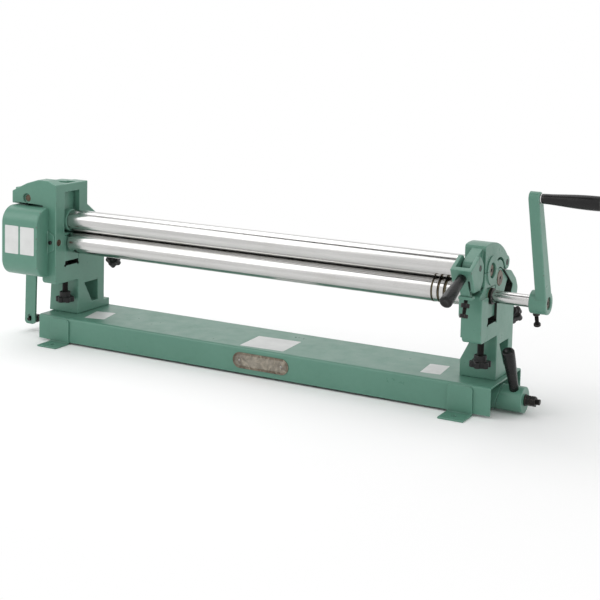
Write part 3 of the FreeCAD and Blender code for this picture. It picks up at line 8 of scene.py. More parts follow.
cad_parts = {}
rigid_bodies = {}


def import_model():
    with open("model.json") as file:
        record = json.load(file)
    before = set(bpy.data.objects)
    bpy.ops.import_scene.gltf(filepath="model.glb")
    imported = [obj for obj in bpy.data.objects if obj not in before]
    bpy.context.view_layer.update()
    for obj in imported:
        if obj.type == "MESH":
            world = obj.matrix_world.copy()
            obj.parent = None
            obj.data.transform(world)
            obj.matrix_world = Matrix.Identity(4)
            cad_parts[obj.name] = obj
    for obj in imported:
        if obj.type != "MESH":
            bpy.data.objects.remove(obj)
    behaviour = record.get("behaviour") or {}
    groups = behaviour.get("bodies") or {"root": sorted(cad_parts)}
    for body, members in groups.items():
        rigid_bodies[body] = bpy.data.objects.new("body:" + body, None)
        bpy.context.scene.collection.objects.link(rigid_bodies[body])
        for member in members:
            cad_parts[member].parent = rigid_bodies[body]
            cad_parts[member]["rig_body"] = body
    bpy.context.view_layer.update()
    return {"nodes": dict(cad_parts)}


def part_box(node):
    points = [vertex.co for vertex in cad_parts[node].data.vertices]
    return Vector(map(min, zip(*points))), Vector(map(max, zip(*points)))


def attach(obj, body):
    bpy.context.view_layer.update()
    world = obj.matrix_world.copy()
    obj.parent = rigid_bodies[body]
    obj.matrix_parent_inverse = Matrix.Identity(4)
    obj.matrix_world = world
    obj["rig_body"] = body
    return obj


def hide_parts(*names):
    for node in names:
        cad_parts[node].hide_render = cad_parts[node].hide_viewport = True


# A bench slip roll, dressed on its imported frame. X runs along the rolls to the crank, the operator
# stands at -Y and Z is up. Places are in metres, outlines for the lathe and the threads in
# millimetres.

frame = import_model()

NODES = frame["nodes"]
X, Y, Z = Vector((1, 0, 0)), Vector((0, 1, 0)), Vector((0, 0, 1))


def axis(roll_node):
    """Where a roll's axis runs, as Y and Z in metres."""
    middle = sum(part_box(roll_node), Vector()) / 2
    return middle.y, middle.z


ROLL_Y, LOW_Z = axis("lower_roll")
TOP_Z = axis("top_roll")[1]                 # straight above the lower roll
REAR_Y, REAR_Z = axis("rear_roll")
REAR_SLOPE = math.radians(36)               # how steeply the rear roll's slots fall toward the back
REAR_WAY = Vector((0, math.cos(REAR_SLOPE), -math.sin(REAR_SLOPE)))
LEFT_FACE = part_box("left_end_frame")[1].x   # the left frame's face beside the rolls

# ------------------------------------------------------------------ finishes

MIX_SHARE, MIX_FIRST, MIX_SECOND, MIX_RESULT = 0, 6, 7, 2       # a colour Mix node's sockets


class Finish:
    """A material and the few calls that its recipe is written with."""

    def __init__(self, name):
        self.material = bpy.data.materials.new(name)
        self.material.use_nodes = True
        self.tree = self.material.node_tree
        self.surface = self.tree.nodes["Principled BSDF"]
        self.place = self.node("ShaderNodeTexCoord").outputs["Object"]

    def node(self, kind, inputs=(), **settings):
        made = self.tree.nodes.new(kind)
        for name, value in settings.items():
            setattr(made, name, value)
        for name, value in dict(inputs).items():
            self.feed(made, name, value)
        return made

    def feed(self, target, name, value):
        socket = target.inputs[name]
        if isinstance(value, bpy.types.NodeSocket):
            self.tree.links.new(value, socket)
        else:
            socket.default_value = value

    def stretched(self, scale):
        mapping = self.node("ShaderNodeMapping", {"Vector": self.place, "Scale": scale})
        return mapping.outputs["Vector"]

    def noise(self, scale, detail=3.0, roughness=0.5, place=None):
        made = self.node("ShaderNodeTexNoise", {"Vector": place or self.place, "Scale": scale,
                                                "Detail": detail, "Roughness": roughness})
        return made.outputs["Fac"]

    def between(self, value, low, high, from_low=0.3, from_high=0.7):
        """Spreads a value from one range over another, and holds it at the ends."""
        made = self.node("ShaderNodeMapRange", {"Value": value, "From Min": from_low,
                                                "From Max": from_high, "To Min": low, "To Max": high})
        return made.outputs["Result"]

    def times(self, first, second):
        made = self.node("ShaderNodeMath", operation="MULTIPLY")
        self.feed(made, 0, first)
        self.feed(made, 1, second)
        return made.outputs["Value"]

    def blend(self, share, first, second):
        made = self.node("ShaderNodeMix", data_type="RGBA")
        self.feed(made, MIX_SHARE, share)
        self.feed(made, MIX_FIRST, first)
        self.feed(made, MIX_SECOND, second)
        return made.outputs[MIX_RESULT]

    def bump(self, height, strength, distance, under=None):
        """A surface roughened by a height, over another bump where one is given."""
        made = self.node("ShaderNodeBump", {"Height": height, "Strength": strength, "Distance": distance})
        if under is not None:
            self.feed(made, "Normal", under)
        return made.outputs["Normal"]

    def shade_in_corners(self, reach):
        """1 deep in a corner, 0 in the open: where the painted corner shade goes."""
        made = self.node("ShaderNodeAmbientOcclusion", {"Distance": reach}, samples=6, only_local=True)
        return self.between(made.outputs["AO"], 1.0, 0.0, 0.25, 0.85)

    def edge_strips(self):
        """1 on the rounded strips along a piece's edges."""
        return self.node("ShaderNodeAttribute", attribute_name="edge").outputs["Fac"]

    def give(self, **inputs):
        """Feeds the surface's own sockets and hands over the finished material."""
        for name, value in inputs.items():
            self.feed(self.surface, name.replace("_", " "), value)
        return self.material


def rgb(red, green, blue):
    return (red, green, blue, 1.0)


SPECK_GREEN = rgb(0.060, 0.170, 0.118)
# Paler green of thinner paint along edges, also serving as a painted highlight on them.
THIN_PAINT_HIGHLIGHT = rgb(0.205, 0.400, 0.315)
CHIPPED_IRON = rgb(0.115, 0.120, 0.108)
# Near-black green of the painted shade in corners.
CORNER_SHADE = rgb(0.022, 0.040, 0.030)


def enamel(name, deep, pale, grain):
    """Satin enamel brushed over iron: slow colour drift, fine specks, thin paint with a painted highlight
    and chips along edges, painted shade in corners, and an orange peel over the iron's own grain."""
    coat = Finish(name)
    drift = coat.noise(5.0, 4.0, 0.55)
    colour = coat.blend(coat.between(drift, 0.0, 1.0, 0.32, 0.68), deep, pale)
    specks = coat.noise(95.0, 5.0, 0.7)
    colour = coat.blend(coat.between(specks, 0.0, 0.22, 0.45, 0.8), colour, SPECK_GREEN)
    edge = coat.edge_strips()
    # Thinner paint and a painted highlight: the rounded edge strips lightened toward paler green, broken
    # by noise.
    colour = coat.blend(coat.times(edge, coat.between(coat.noise(40.0), 0.08, 0.40)), colour, THIN_PAINT_HIGHLIGHT)
    chips = coat.times(edge, coat.between(coat.noise(150.0, 4.0, 0.65), 0.0, 1.0, 0.60, 0.64))
    colour = coat.blend(coat.between(chips, 0.0, 0.8, 0.35, 0.6), colour, CHIPPED_IRON)
    # Painted shade: corners darkened toward near-black green, broken up by noise.
    corner_shade = coat.times(coat.shade_in_corners(0.014), coat.between(coat.noise(60.0, 5.0), 0.45, 1.0, 0.3, 0.6))
    colour = coat.blend(coat.between(corner_shade, 0.0, 0.8, 0.05, 0.95), colour, CORNER_SHADE)
    sheen = coat.between(coat.noise(28.0, 5.0, 0.6), 0.27, 0.40)
    skin = coat.bump(coat.noise(1100.0, 2.0), 0.10, 0.0003)
    cast_grain = coat.bump(coat.noise(230.0, 4.0, 0.6), grain, 0.0009, skin)
    return coat.give(Base_Color=colour, Roughness=sheen, Normal=cast_grain)


def ground_steel(name):
    """Ground and polished roll steel: fine rings round the axis, faint handling marks along it."""
    bright, dull, stained = rgb(0.60, 0.595, 0.585), rgb(0.54, 0.535, 0.525), rgb(0.42, 0.40, 0.36)
    coat = Finish(name)
    rings = coat.noise(1.0, 3.0, 0.7, coat.stretched((2600.0, 22.0, 22.0)))
    marks = coat.noise(1.0, 4.0, 0.6, coat.stretched((7.0, 130.0, 130.0)))
    stain = coat.noise(16.0, 5.0, 0.6)
    colour = coat.blend(coat.between(marks, 0.0, 1.0, 0.35, 0.7), bright, dull)
    colour = coat.blend(coat.between(stain, 0.0, 0.25, 0.52, 0.75), colour, stained)
    sheen = coat.between(rings, 0.13, 0.25)
    return coat.give(Base_Color=colour, Roughness=sheen, Metallic=1.0,
                     Normal=coat.bump(rings, 0.045, 0.00012, coat.bump(marks, 0.02, 0.0002)))


def oily_steel(name, clean, brown, low, high):
    """Turned or milled steel with an oil film that has gone brown in places."""
    coat = Finish(name)
    film = coat.noise(70.0, 5.0, 0.65)
    colour = coat.blend(coat.between(film, 0.0, 1.0, 0.40, 0.66), clean, brown)
    cuts = coat.noise(1.0, 2.0, 0.6, coat.stretched((900.0, 900.0, 140.0)))
    return coat.give(Base_Color=colour, Metallic=0.9, Roughness=coat.between(film, low, high),
                     Normal=coat.bump(cuts, 0.08, 0.0002))


def blackened(name):
    """Black oxide on steel, rubbed brown and grey on the corners."""
    black, brown, rubbed = rgb(0.010, 0.010, 0.011), rgb(0.026, 0.021, 0.017), rgb(0.15, 0.13, 0.115)
    coat = Finish(name)
    film = coat.noise(120.0, 5.0, 0.65)
    colour = coat.blend(coat.between(film, 0.0, 1.0, 0.36, 0.68), black, brown)
    edge = coat.times(coat.edge_strips(), coat.between(coat.noise(260.0), 0.1, 0.85, 0.35, 0.65))
    colour = coat.blend(edge, colour, rubbed)
    return coat.give(Base_Color=colour, Metallic=0.55, Roughness=coat.between(film, 0.34, 0.52),
                     Normal=coat.bump(coat.noise(700.0, 3.0), 0.10, 0.0002))


def moulded(name, tone, low, high, grain):
    """Black moulded plastic: fine mould grain, dust and handling marks."""
    black, dusty = rgb(tone, tone, tone * 1.04), rgb(tone * 2.2, tone * 2.15, tone * 2.1)
    rubbed = rgb(0.060, 0.058, 0.055)
    coat = Finish(name)
    dust = coat.noise(45.0, 5.0, 0.65)
    colour = coat.blend(coat.between(dust, 0.0, 1.0, 0.42, 0.75), black, dusty)
    edge = coat.times(coat.edge_strips(), coat.between(coat.noise(180.0), 0.0, 0.55, 0.4, 0.7))
    colour = coat.blend(edge, colour, rubbed)
    return coat.give(Base_Color=colour, Roughness=coat.between(dust, low, high), Specular_IOR_Level=0.32,
                     Normal=coat.bump(coat.noise(1500.0, 2.0), grain, 0.0002))


def bright_zinc(name):
    """Bright zinc plate, its fine spangle yellowed in places."""
    clean, yellowed = rgb(0.60, 0.60, 0.58), rgb(0.50, 0.49, 0.45)
    coat = Finish(name)
    spangle = coat.noise(260.0, 3.0, 0.5)
    colour = coat.blend(coat.between(spangle, 0.0, 1.0, 0.35, 0.65), clean, yellowed)
    return coat.give(Base_Color=colour, Metallic=1.0, Roughness=coat.between(spangle, 0.24, 0.40),
                     Normal=coat.bump(coat.noise(900.0), 0.06, 0.0002))


def weathered_plate(name, light, dark):
    """Cast name plate left bare: blotched grey-brown metal, rubbed bright in places."""
    rubbed = rgb(0.50, 0.45, 0.36)
    coat = Finish(name)
    blotch = coat.noise(60.0, 6.0, 0.7)
    swirl = coat.node("ShaderNodeTexNoise", {"Vector": coat.place, "Scale": 34.0, "Detail": 4.0,
                                             "Distortion": 2.4}).outputs["Fac"]
    colour = coat.blend(coat.between(blotch, 0.0, 1.0, 0.34, 0.66), dark, light)
    colour = coat.blend(coat.between(swirl, 0.0, 0.6, 0.5, 0.72), colour, rubbed)
    return coat.give(Base_Color=colour, Metallic=0.75, Roughness=coat.between(blotch, 0.36, 0.56),
                     Normal=coat.bump(swirl, 0.25, 0.0004, coat.bump(coat.noise(800.0), 0.15, 0.0002)))


def label_film(name, clean, clouded):
    """Pale plastic film, a little clouded."""
    coat = Finish(name)
    cloud = coat.noise(40.0, 4.0)
    colour = coat.blend(coat.between(cloud, 0.0, 1.0), clean, clouded)
    return coat.give(Base_Color=colour, Roughness=coat.between(cloud, 0.34, 0.46),
                     Normal=coat.bump(coat.noise(600.0), 0.04, 0.0002))


def shaded_recess(name):
    """Machined slot walls in a painted casting, and the rolls' centre holes: near-black painted shade
    over bare iron under old oil.
    """
    # Both colours are near black: painted shade over the bare iron and its oil.
    iron, shaded_oil = rgb(0.012, 0.015, 0.013), rgb(0.035, 0.034, 0.028)
    coat = Finish(name)
    film = coat.noise(110.0, 5.0, 0.7)
    colour = coat.blend(coat.between(film, 0.0, 1.0, 0.35, 0.68), iron, shaded_oil)
    return coat.give(Base_Color=colour, Metallic=0.3, Roughness=coat.between(film, 0.30, 0.55),
                     Normal=coat.bump(coat.noise(500.0), 0.12, 0.0003))


CAST_PAINT = enamel("cast_enamel", rgb(0.085, 0.214, 0.157), rgb(0.104, 0.246, 0.183), 0.30)
SHEET_PAINT = enamel("sheet_enamel", rgb(0.088, 0.222, 0.163), rgb(0.102, 0.245, 0.182), 0.10)
STEEL = ground_steel("ground_steel")
GEAR_STEEL = oily_steel("gear_steel", rgb(0.30, 0.29, 0.27), rgb(0.12, 0.10, 0.08), 0.30, 0.48)
GROOVE_OIL = oily_steel("oiled_groove", rgb(0.16, 0.13, 0.08), rgb(0.06, 0.045, 0.03), 0.22, 0.40)
SPOT_STEEL = oily_steel("turned_end", rgb(0.42, 0.41, 0.39), rgb(0.24, 0.20, 0.17), 0.26, 0.42)
BRONZE = oily_steel("bush_bronze", rgb(0.42, 0.27, 0.12), rgb(0.20, 0.12, 0.06), 0.28, 0.44)
OXIDE = blackened("black_oxide")
HANDLE = moulded("handle_plastic", 0.0050, 0.20, 0.34, 0.05)
KNOB = moulded("knob_plastic", 0.0055, 0.36, 0.52, 0.16)
ZINC = bright_zinc("zinc_plate")
PLATE = weathered_plate("plate_field", rgb(0.34, 0.31, 0.26), rgb(0.16, 0.14, 0.115))
PLATE_RIM = weathered_plate("plate_rim", rgb(0.26, 0.22, 0.17), rgb(0.10, 0.08, 0.06))
LABEL = label_film("label_white", rgb(0.66, 0.67, 0.66), rgb(0.60, 0.61, 0.60))
# Near-black painted shade for the frames' slot walls and the rolls' centre holes.
RECESS_SHADE = shaded_recess("slot_shaded_iron")
PIN_OIL = oily_steel("oiled_pin", rgb(0.130, 0.098, 0.070), rgb(0.055, 0.035, 0.022), 0.24, 0.40)


# ------------------------------------------------------------------ making pieces

HARD_EDGE = math.radians(28.0)      # a bend that gets rounded
FLAT_BEND = math.radians(0.5)       # a bend that two triangles of one flat face may have
SEAM_BEND = 0.01                    # the same for a seam between two such faces, in radians
RUN_ON = -0.78                      # cosine from which two edges count as one line
OWN_ROOM, SHARED_ROOM = 0.85, 0.42  # share of the edge beside it that a rounding may use up
LEAST_TURN = 0.05                   # the sharpest corner that room is worked out for, in radians
LEAST_SEAM = 2.2                    # a seam shorter than this many reaches stays straight
SAME_POINT = 2e-6                   # metres
SLIVER = 0.0002                     # an edge too short to keep, in metres
LEAST_ROUND = 0.00003               # metres
THREAD_DEPTH = 0.55                 # share of the pitch
THREAD_STEPS = 20                   # facets in one turn of a thread


def merged(node):
    """A node's own faces joined up, with the flat ones made whole again."""
    bm = bmesh.new()
    bm.from_mesh(NODES[node].data)
    bmesh.ops.remove_doubles(bm, verts=bm.verts[:], dist=SAME_POINT)
    bmesh.ops.dissolve_limit(bm, angle_limit=FLAT_BEND, verts=bm.verts[:], edges=bm.edges[:])
    bmesh.ops.dissolve_degenerate(bm, dist=SLIVER, edges=bm.edges[:])
    return bm


def runs_on(first, second, vertex):
    """True where one hard edge carries on into another with little bend."""
    aims = [(edge.other_vert(vertex).co - vertex.co).normalized() for edge in (first, second)]
    return aims[0].dot(aims[1]) < RUN_ON


def room(edge, sharp):
    """How wide an edge's rounding may be before it uses up the edges beside it."""
    least = 1.0
    for loop in edge.link_loops:
        ends = ((loop, loop.link_loop_prev.edge), (loop.link_loop_next, loop.link_loop_next.edge))
        for corner, beside in ends:
            vertex = corner.vert
            if beside in sharp and (runs_on(edge, beside, vertex) or not corner.is_convex):
                continue
            far = beside.other_vert(vertex)
            share = SHARED_ROOM if any(other in sharp for other in far.link_edges) else OWN_ROOM
            turn = max(LEAST_TURN, min(math.pi - LEAST_TURN, corner.calc_angle()))
            least = min(least, beside.calc_length() * math.sin(turn) * share)
    return least


def chains(sharp):
    """Groups hard edges that run on into each other, which must share one width."""
    left, groups = set(sharp), []
    while left:
        group, waiting = set(), [left.pop()]
        while waiting:
            edge = waiting.pop()
            group.add(edge)
            for vertex in edge.verts:
                for other in vertex.link_edges:
                    if other in left and runs_on(edge, other, vertex):
                        left.discard(other)
                        waiting.append(other)
        groups.append(group)
    return groups


def inward(seam, vertex):
    """Square to each hard edge that meets a seam at one end, the way into the flat face."""
    ways = []
    for loop in vertex.link_loops:
        if seam not in loop.face.edges:
            continue
        for corner in (loop, loop.link_loop_prev):
            edge = corner.edge
            if edge is not seam and edge.is_manifold and edge.calc_face_angle(0.0) > HARD_EDGE:
                along = corner.link_loop_next.vert.co - corner.vert.co
                ways.append(loop.face.normal.cross(along).normalized())
    return ways


def squared(bm, reach):
    """Bends each seam across a flat face so that it leaves the face's border squarely, which lets
    the border's rounding slide along it."""
    seams = [edge for edge in bm.edges if edge.is_manifold and edge.calc_face_angle(1.0) < SEAM_BEND
             and edge.calc_length() > LEAST_SEAM * reach
             and all(face.calc_area() > reach * face.calc_perimeter() for face in edge.link_faces)]
    for seam in seams:
        for vertex in seam.verts[:]:
            ways = inward(seam, vertex)
            if len(ways) != 2 or (ways[0] + ways[1]).length < 0.5:
                continue
            aim = (ways[0] + ways[1]).normalized()
            step = min(reach / max(0.5, aim.dot(ways[0])), seam.calc_length() * 0.4)
            knee = bmesh.utils.edge_split(seam, vertex, 0.1)[1]
            knee.co = vertex.co + aim * step
            # The stretch beyond the knee is the seam that the other end still has to bend.
            seam = next(edge for edge in knee.link_edges if vertex not in edge.verts)


def eased(bm, width, segments=3, wider=None):
    """Rounds a shape's hard edges, less where there is less room."""
    weight = bm.edges.layers.float.new("bevel_weight_edge")
    squared(bm, width * 1.6)
    sharp = {edge for edge in bm.edges if edge.is_manifold and edge.calc_face_angle(0.0) > HARD_EDGE}
    asked = {}
    for group in chains(sharp):
        wish = max((wider(edge) if wider else None) or width for edge in group)
        for edge in group:
            asked[edge] = min(wish, min(room(other, sharp) for other in group))
    most = max(asked.values(), default=width)
    for edge, wish in asked.items():
        edge[weight] = max(LEAST_ROUND, wish) / most
    return rounded(bm, most, segments)


def rounded(bm, most, segments):
    """Rounds edges by their weights, and marks the new strips as edge for the finishes."""
    mesh = bpy.data.meshes.new("blank")
    bm.to_mesh(mesh)
    bm.free()
    # One slot for the faces as they were, and one for the new strips.
    for _ in range(2):
        mesh.materials.append(None)
    blank = bpy.data.objects.new("blank", mesh)
    bpy.context.scene.collection.objects.link(blank)
    bevel = blank.modifiers.new("round", "BEVEL")
    bevel.limit_method = "WEIGHT"
    bevel.width = most
    bevel.segments = segments
    bevel.profile = 0.5
    bevel.use_clamp_overlap = False
    bevel.material = 1
    bpy.context.view_layer.update()
    result = bpy.data.meshes.new_from_object(blank.evaluated_get(bpy.context.evaluated_depsgraph_get()))
    bpy.data.objects.remove(blank)
    bpy.data.meshes.remove(mesh)
    bm = bmesh.new()
    bm.from_mesh(result)
    bpy.data.meshes.remove(result)
    mark = bm.verts.layers.float.new("edge")
    for vertex in bm.verts:
        faces = vertex.link_faces
        vertex[mark] = 1.0 if faces and all(face.material_index == 1 for face in faces) else 0.0
    for face in bm.faces:
        face.material_index = 0
    return bm


def lathe(direction, start, profile, steps=64):
    """Spins a half outline, given as radius and distance along a direction in millimetres, into a
    closed solid."""
    bm = bmesh.new()
    points = [bm.verts.new((radius / 1000, 0.0, along / 1000)) for radius, along in profile]
    lines = [bm.edges.new(pair) for pair in zip(points, points[1:])]
    bmesh.ops.spin(bm, geom=points + lines, cent=(0, 0, 0), axis=Z, dvec=(0, 0, 0), angle=math.tau,
                   steps=steps, use_merge=True, use_duplicate=False)
    bmesh.ops.remove_doubles(bm, verts=bm.verts[:], dist=1e-6)
    bmesh.ops.recalc_face_normals(bm, faces=bm.faces[:])
    stand(bm, direction, start)
    return bm


def stand(bm, direction, start):
    """Turns a shape made up the Z axis to a direction and sets its foot at a point, in metres."""
    turn = Z.rotation_difference(Vector(direction)).to_matrix().to_4x4()
    bmesh.ops.transform(bm, matrix=Matrix.Translation(start) @ turn, verts=bm.verts[:])


def threaded(radius, pitch, length):
    """A screw up the Z axis, in millimetres, its thread wound by one spin with a rise and both
    ends cut square."""
    bm = bmesh.new()
    root = radius - THREAD_DEPTH * pitch
    # One pitch of the outline: each point's radius, and its place as a share of the pitch.
    outline = [(root, 0.0), (root, 0.12), (radius, 0.44), (radius, 0.56), (root, 0.88), (root, 1.0)]
    points = [bm.verts.new((out / 1000, 0.0, (share - 1.5) * pitch / 1000)) for out, share in outline]
    lines = [bm.edges.new(pair) for pair in zip(points, points[1:])]
    turns = int(length / pitch) + 3
    bmesh.ops.spin(bm, geom=points + lines, cent=(0, 0, 0), axis=Z,
                   dvec=(0, 0, pitch / 1000 / THREAD_STEPS), angle=math.tau * turns,
                   steps=THREAD_STEPS * turns, use_merge=False, use_duplicate=False)
    bmesh.ops.remove_doubles(bm, verts=bm.verts[:], dist=SAME_POINT)
    for height, way in ((0.0, -1), (length / 1000, 1)):
        bmesh.ops.bisect_plane(bm, geom=bm.verts[:] + bm.edges[:] + bm.faces[:], plane_co=(0, 0, height),
                               plane_no=(0, 0, way), clear_outer=True)
        rim = [edge for edge in bm.edges if edge.is_boundary
               and all(abs(vertex.co.z - height) < 1e-6 for vertex in edge.verts)]
        bmesh.ops.edgeloop_fill(bm, edges=rim)
    bmesh.ops.recalc_face_normals(bm, faces=bm.faces[:])
    return bm


def joined(*shapes):
    """Several shapes as one mesh."""
    whole = shapes[0]
    for shape in shapes[1:]:
        mesh = bpy.data.meshes.new("part")
        shape.to_mesh(mesh)
        shape.free()
        whole.from_mesh(mesh)
        bpy.data.meshes.remove(mesh)
    return whole


def dress(name, bm, finishes, slot, *nodes, body=None, choose=None, flats=True):
    """Makes a piece of a shape: its finishes, its body and the nodes that it stands for; the slot
    argument is not used. A choose function picks each face's finish by number."""
    finishes = finishes if isinstance(finishes, list) else [finishes]
    for face in bm.faces:
        face.smooth = True
        if choose:
            face.material_index = choose(face)
    mesh = bpy.data.meshes.new(name)
    bm.to_mesh(mesh)
    bm.free()
    for finish in finishes:
        mesh.materials.append(finish)
    piece = bpy.data.objects.new(name, mesh)
    bpy.context.scene.collection.objects.link(piece)
    if flats:
        weigh = piece.modifiers.new("flats", "WEIGHTED_NORMAL")
        weigh.keep_sharp = True
        weigh.weight = 80
    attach(piece, body or NODES[nodes[0]]["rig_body"])
    if nodes:
        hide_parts(*nodes)
    return piece


def crease(bm, angle=50.0):
    """Keeps edges sharper than an angle, in degrees, crisp in the shading."""
    for edge in bm.edges:
        if edge.is_manifold and edge.calc_face_angle(0.0) > math.radians(angle):
            edge.smooth = False
    return bm


def cast(name, node, width, slot, finish, segments=3, wider=None, choose=None):
    """A node's own shape with its hard edges rounded to a width in metres."""
    shape = eased(merged(node), width, segments, wider)
    return dress(name, shape, finish, slot, node, choose=choose)


# ------------------------------------------------------------------ base and feet

SIDES = ("left", "right")
FEET = ("front_left", "front_right", "back_left", "back_right")
SHEET_EDGE = 0.0009                         # rounding of cut and folded sheet, in metres
SMALL_EDGE = 0.0006                         # rounding of nuts, bolts, pins and thin plates
FINE_EDGE = 0.0004                          # rounding of gears and bushes

cast("base", "base_channel", SHEET_EDGE, "green_paint", SHEET_PAINT, segments=2)
for side in FEET:
    cast("bracket_" + side, "foot_" + side, SHEET_EDGE, "green_paint", SHEET_PAINT, segments=2)
for side in SIDES:
    cast("rod_guide_plate_" + side, "rod_guide_" + side, SMALL_EDGE, "green_paint", SHEET_PAINT,
         segments=2)

# ------------------------------------------------------------------ castings

LOWER_SLOT_HALF = 0.0296                    # half widths and reach of the machined slots, in metres
LOWER_SLOT_Z = (0.182, 0.2612)
REAR_SLOT_HALF = 0.0212
REAR_SLOT_RUN = (-0.026, 0.072)
COVER_END_X = LEFT_FACE - 0.022             # the gear cover's end beside the rolls
COVER_END_ROUND = 0.0034


def in_slots(face):
    """1 for the machined walls of an end frame's two block slots, which take the near-black painted
    shade, 0 elsewhere.
    """
    spot = face.calc_center_median()
    if abs(face.normal.x) > 0.5:
        return 0
    if abs(spot.y - ROLL_Y) < LOWER_SLOT_HALF and LOWER_SLOT_Z[0] < spot.z < LOWER_SLOT_Z[1]:
        return 1
    off = spot - Vector((spot.x, REAR_Y, REAR_Z))
    along = off.dot(REAR_WAY)
    aside = (off - along * REAR_WAY).length
    return 1 if REAR_SLOT_RUN[0] < along < REAR_SLOT_RUN[1] and aside < REAR_SLOT_HALF else 0


def cover_end(edge):
    """A wider rounding for the cover's edges beside the rolls."""
    beside = all(abs(vertex.co.x - COVER_END_X) < 1e-4 for vertex in edge.verts)
    return COVER_END_ROUND if beside else None


# The slot walls take the near-black painted shade.
cast("left_frame", "left_end_frame", 0.0020, "green_paint", [CAST_PAINT, RECESS_SHADE], choose=in_slots)
cast("right_frame", "right_end_frame", 0.0020, "green_paint", [CAST_PAINT, RECESS_SHADE], choose=in_slots)
cast("gear_cover", "gear_guard", 0.0012, "green_paint", SHEET_PAINT, wider=cover_end)
cast("roll_cap", "top_roll_cap", 0.0022, "green_paint", CAST_PAINT)
cast("yoke_casting", "release_yoke", 0.0018, "green_paint", CAST_PAINT)
cast("trunnion_casting", "trunnion_block", 0.0018, "green_paint", CAST_PAINT)
cast("crank_casting", "crank_arm", 0.0024, "green_paint", CAST_PAINT)
cast("lever_flat", "lever_bar", SHEET_EDGE, "green_paint", SHEET_PAINT, segments=2)
cast("cam_collar", "cam_ring", 0.0010, "green_paint", SHEET_PAINT)
cast("drum", "lift_drum", 0.0012, "green_paint", SHEET_PAINT)
for side in SIDES:
    cast("lower_slide_" + side, "lower_block_" + side, 0.0012, "green_paint", CAST_PAINT)
    cast("rear_slide_" + side, "rear_block_" + side, 0.0012, "green_paint", CAST_PAINT)
    cast("lower_bushing_" + side, "lower_bush_" + side, FINE_EDGE, "bronze", BRONZE, segments=2)
cast("top_bushing", "top_bush", FINE_EDGE, "bronze", BRONZE, segments=2)

# ------------------------------------------------------------------ small hardware

cast("frame_hardware", "frame_bolts", SMALL_EDGE, "zinc_steel", ZINC, segments=2)
for node, name in (("guard_screw", "cover_screw"), ("cap_hinge_pin", "cap_pin"),
                   ("trunnion_pin", "pivot_pin"), ("lower_gear_bolt", "lower_gear_screw"),
                   ("top_gear_bolt", "top_gear_screw"), ("shaft_collar", "thrust_collar"),
                   ("crank_jam_nut", "set_screw_nut"), ("lever_bolts", "lever_screws"),
                   ("yoke_pin", "yoke_hinge_pin"), ("clamp_jam_nut", "clamp_nut"),
                   ("rod_pin", "clevis_pin"), ("cotter_pin", "split_pin"),
                   ("rod_nuts", "rod_end_nuts")):
    finish = PIN_OIL if node == "trunnion_pin" else OXIDE
    cast(name, node, SMALL_EDGE, "black_oxide", finish, segments=2)
cast("lower_gear_wheel", "lower_gear", FINE_EDGE, "gear_steel", GEAR_STEEL, segments=2)
cast("top_gear_wheel", "top_gear", FINE_EDGE, "gear_steel", GEAR_STEEL, segments=2)
for side in SIDES:
    cast("lower_hand_knob_" + side, "lower_knob_" + side, 0.0016, "black_knob", KNOB)
    cast("rear_hand_knob_" + side, "rear_knob_" + side, 0.0018, "black_knob", KNOB)
cast("spindle", "grip_spindle", SMALL_EDGE, "ground_steel", STEEL)

# ------------------------------------------------------------------ rolls

ROLL_START = LEFT_FACE + 0.005              # where the rolls' full width begins, in metres
ROLL_LENGTH = 1001.0                        # this and the sizes below in millimetres
ROLL_RADIUS = 25.4
GROOVE_FIRST, GROOVE_PITCH, GROOVE_RADIUS = 51.0, 14.0, 3.2
HOLE_RADIUS, HOLE_DEPTH = 3.6, 4.0
# Half outlines: each point's distance from the axis and from the end.
CENTRE_HOLE = ((0, HOLE_DEPTH), (2.0, HOLE_DEPTH), (3.2, 0.4), (HOLE_RADIUS, 0))
ROLL_CORNER = ((ROLL_RADIUS - 1.2, 0.0), (ROLL_RADIUS - 0.5, 0.3), (ROLL_RADIUS, 1.2))


def groove(middle, deep):
    """Half outline of a round wire groove, with its lips a little eased."""
    outline = [(ROLL_RADIUS, middle - deep - 0.3)]
    for step in range(7):
        turn = math.pi * step / 6
        outline.append((ROLL_RADIUS + 0.4 - deep * math.sin(turn), middle - deep * math.cos(turn)))
    return outline + [(ROLL_RADIUS, middle + deep + 0.3)]


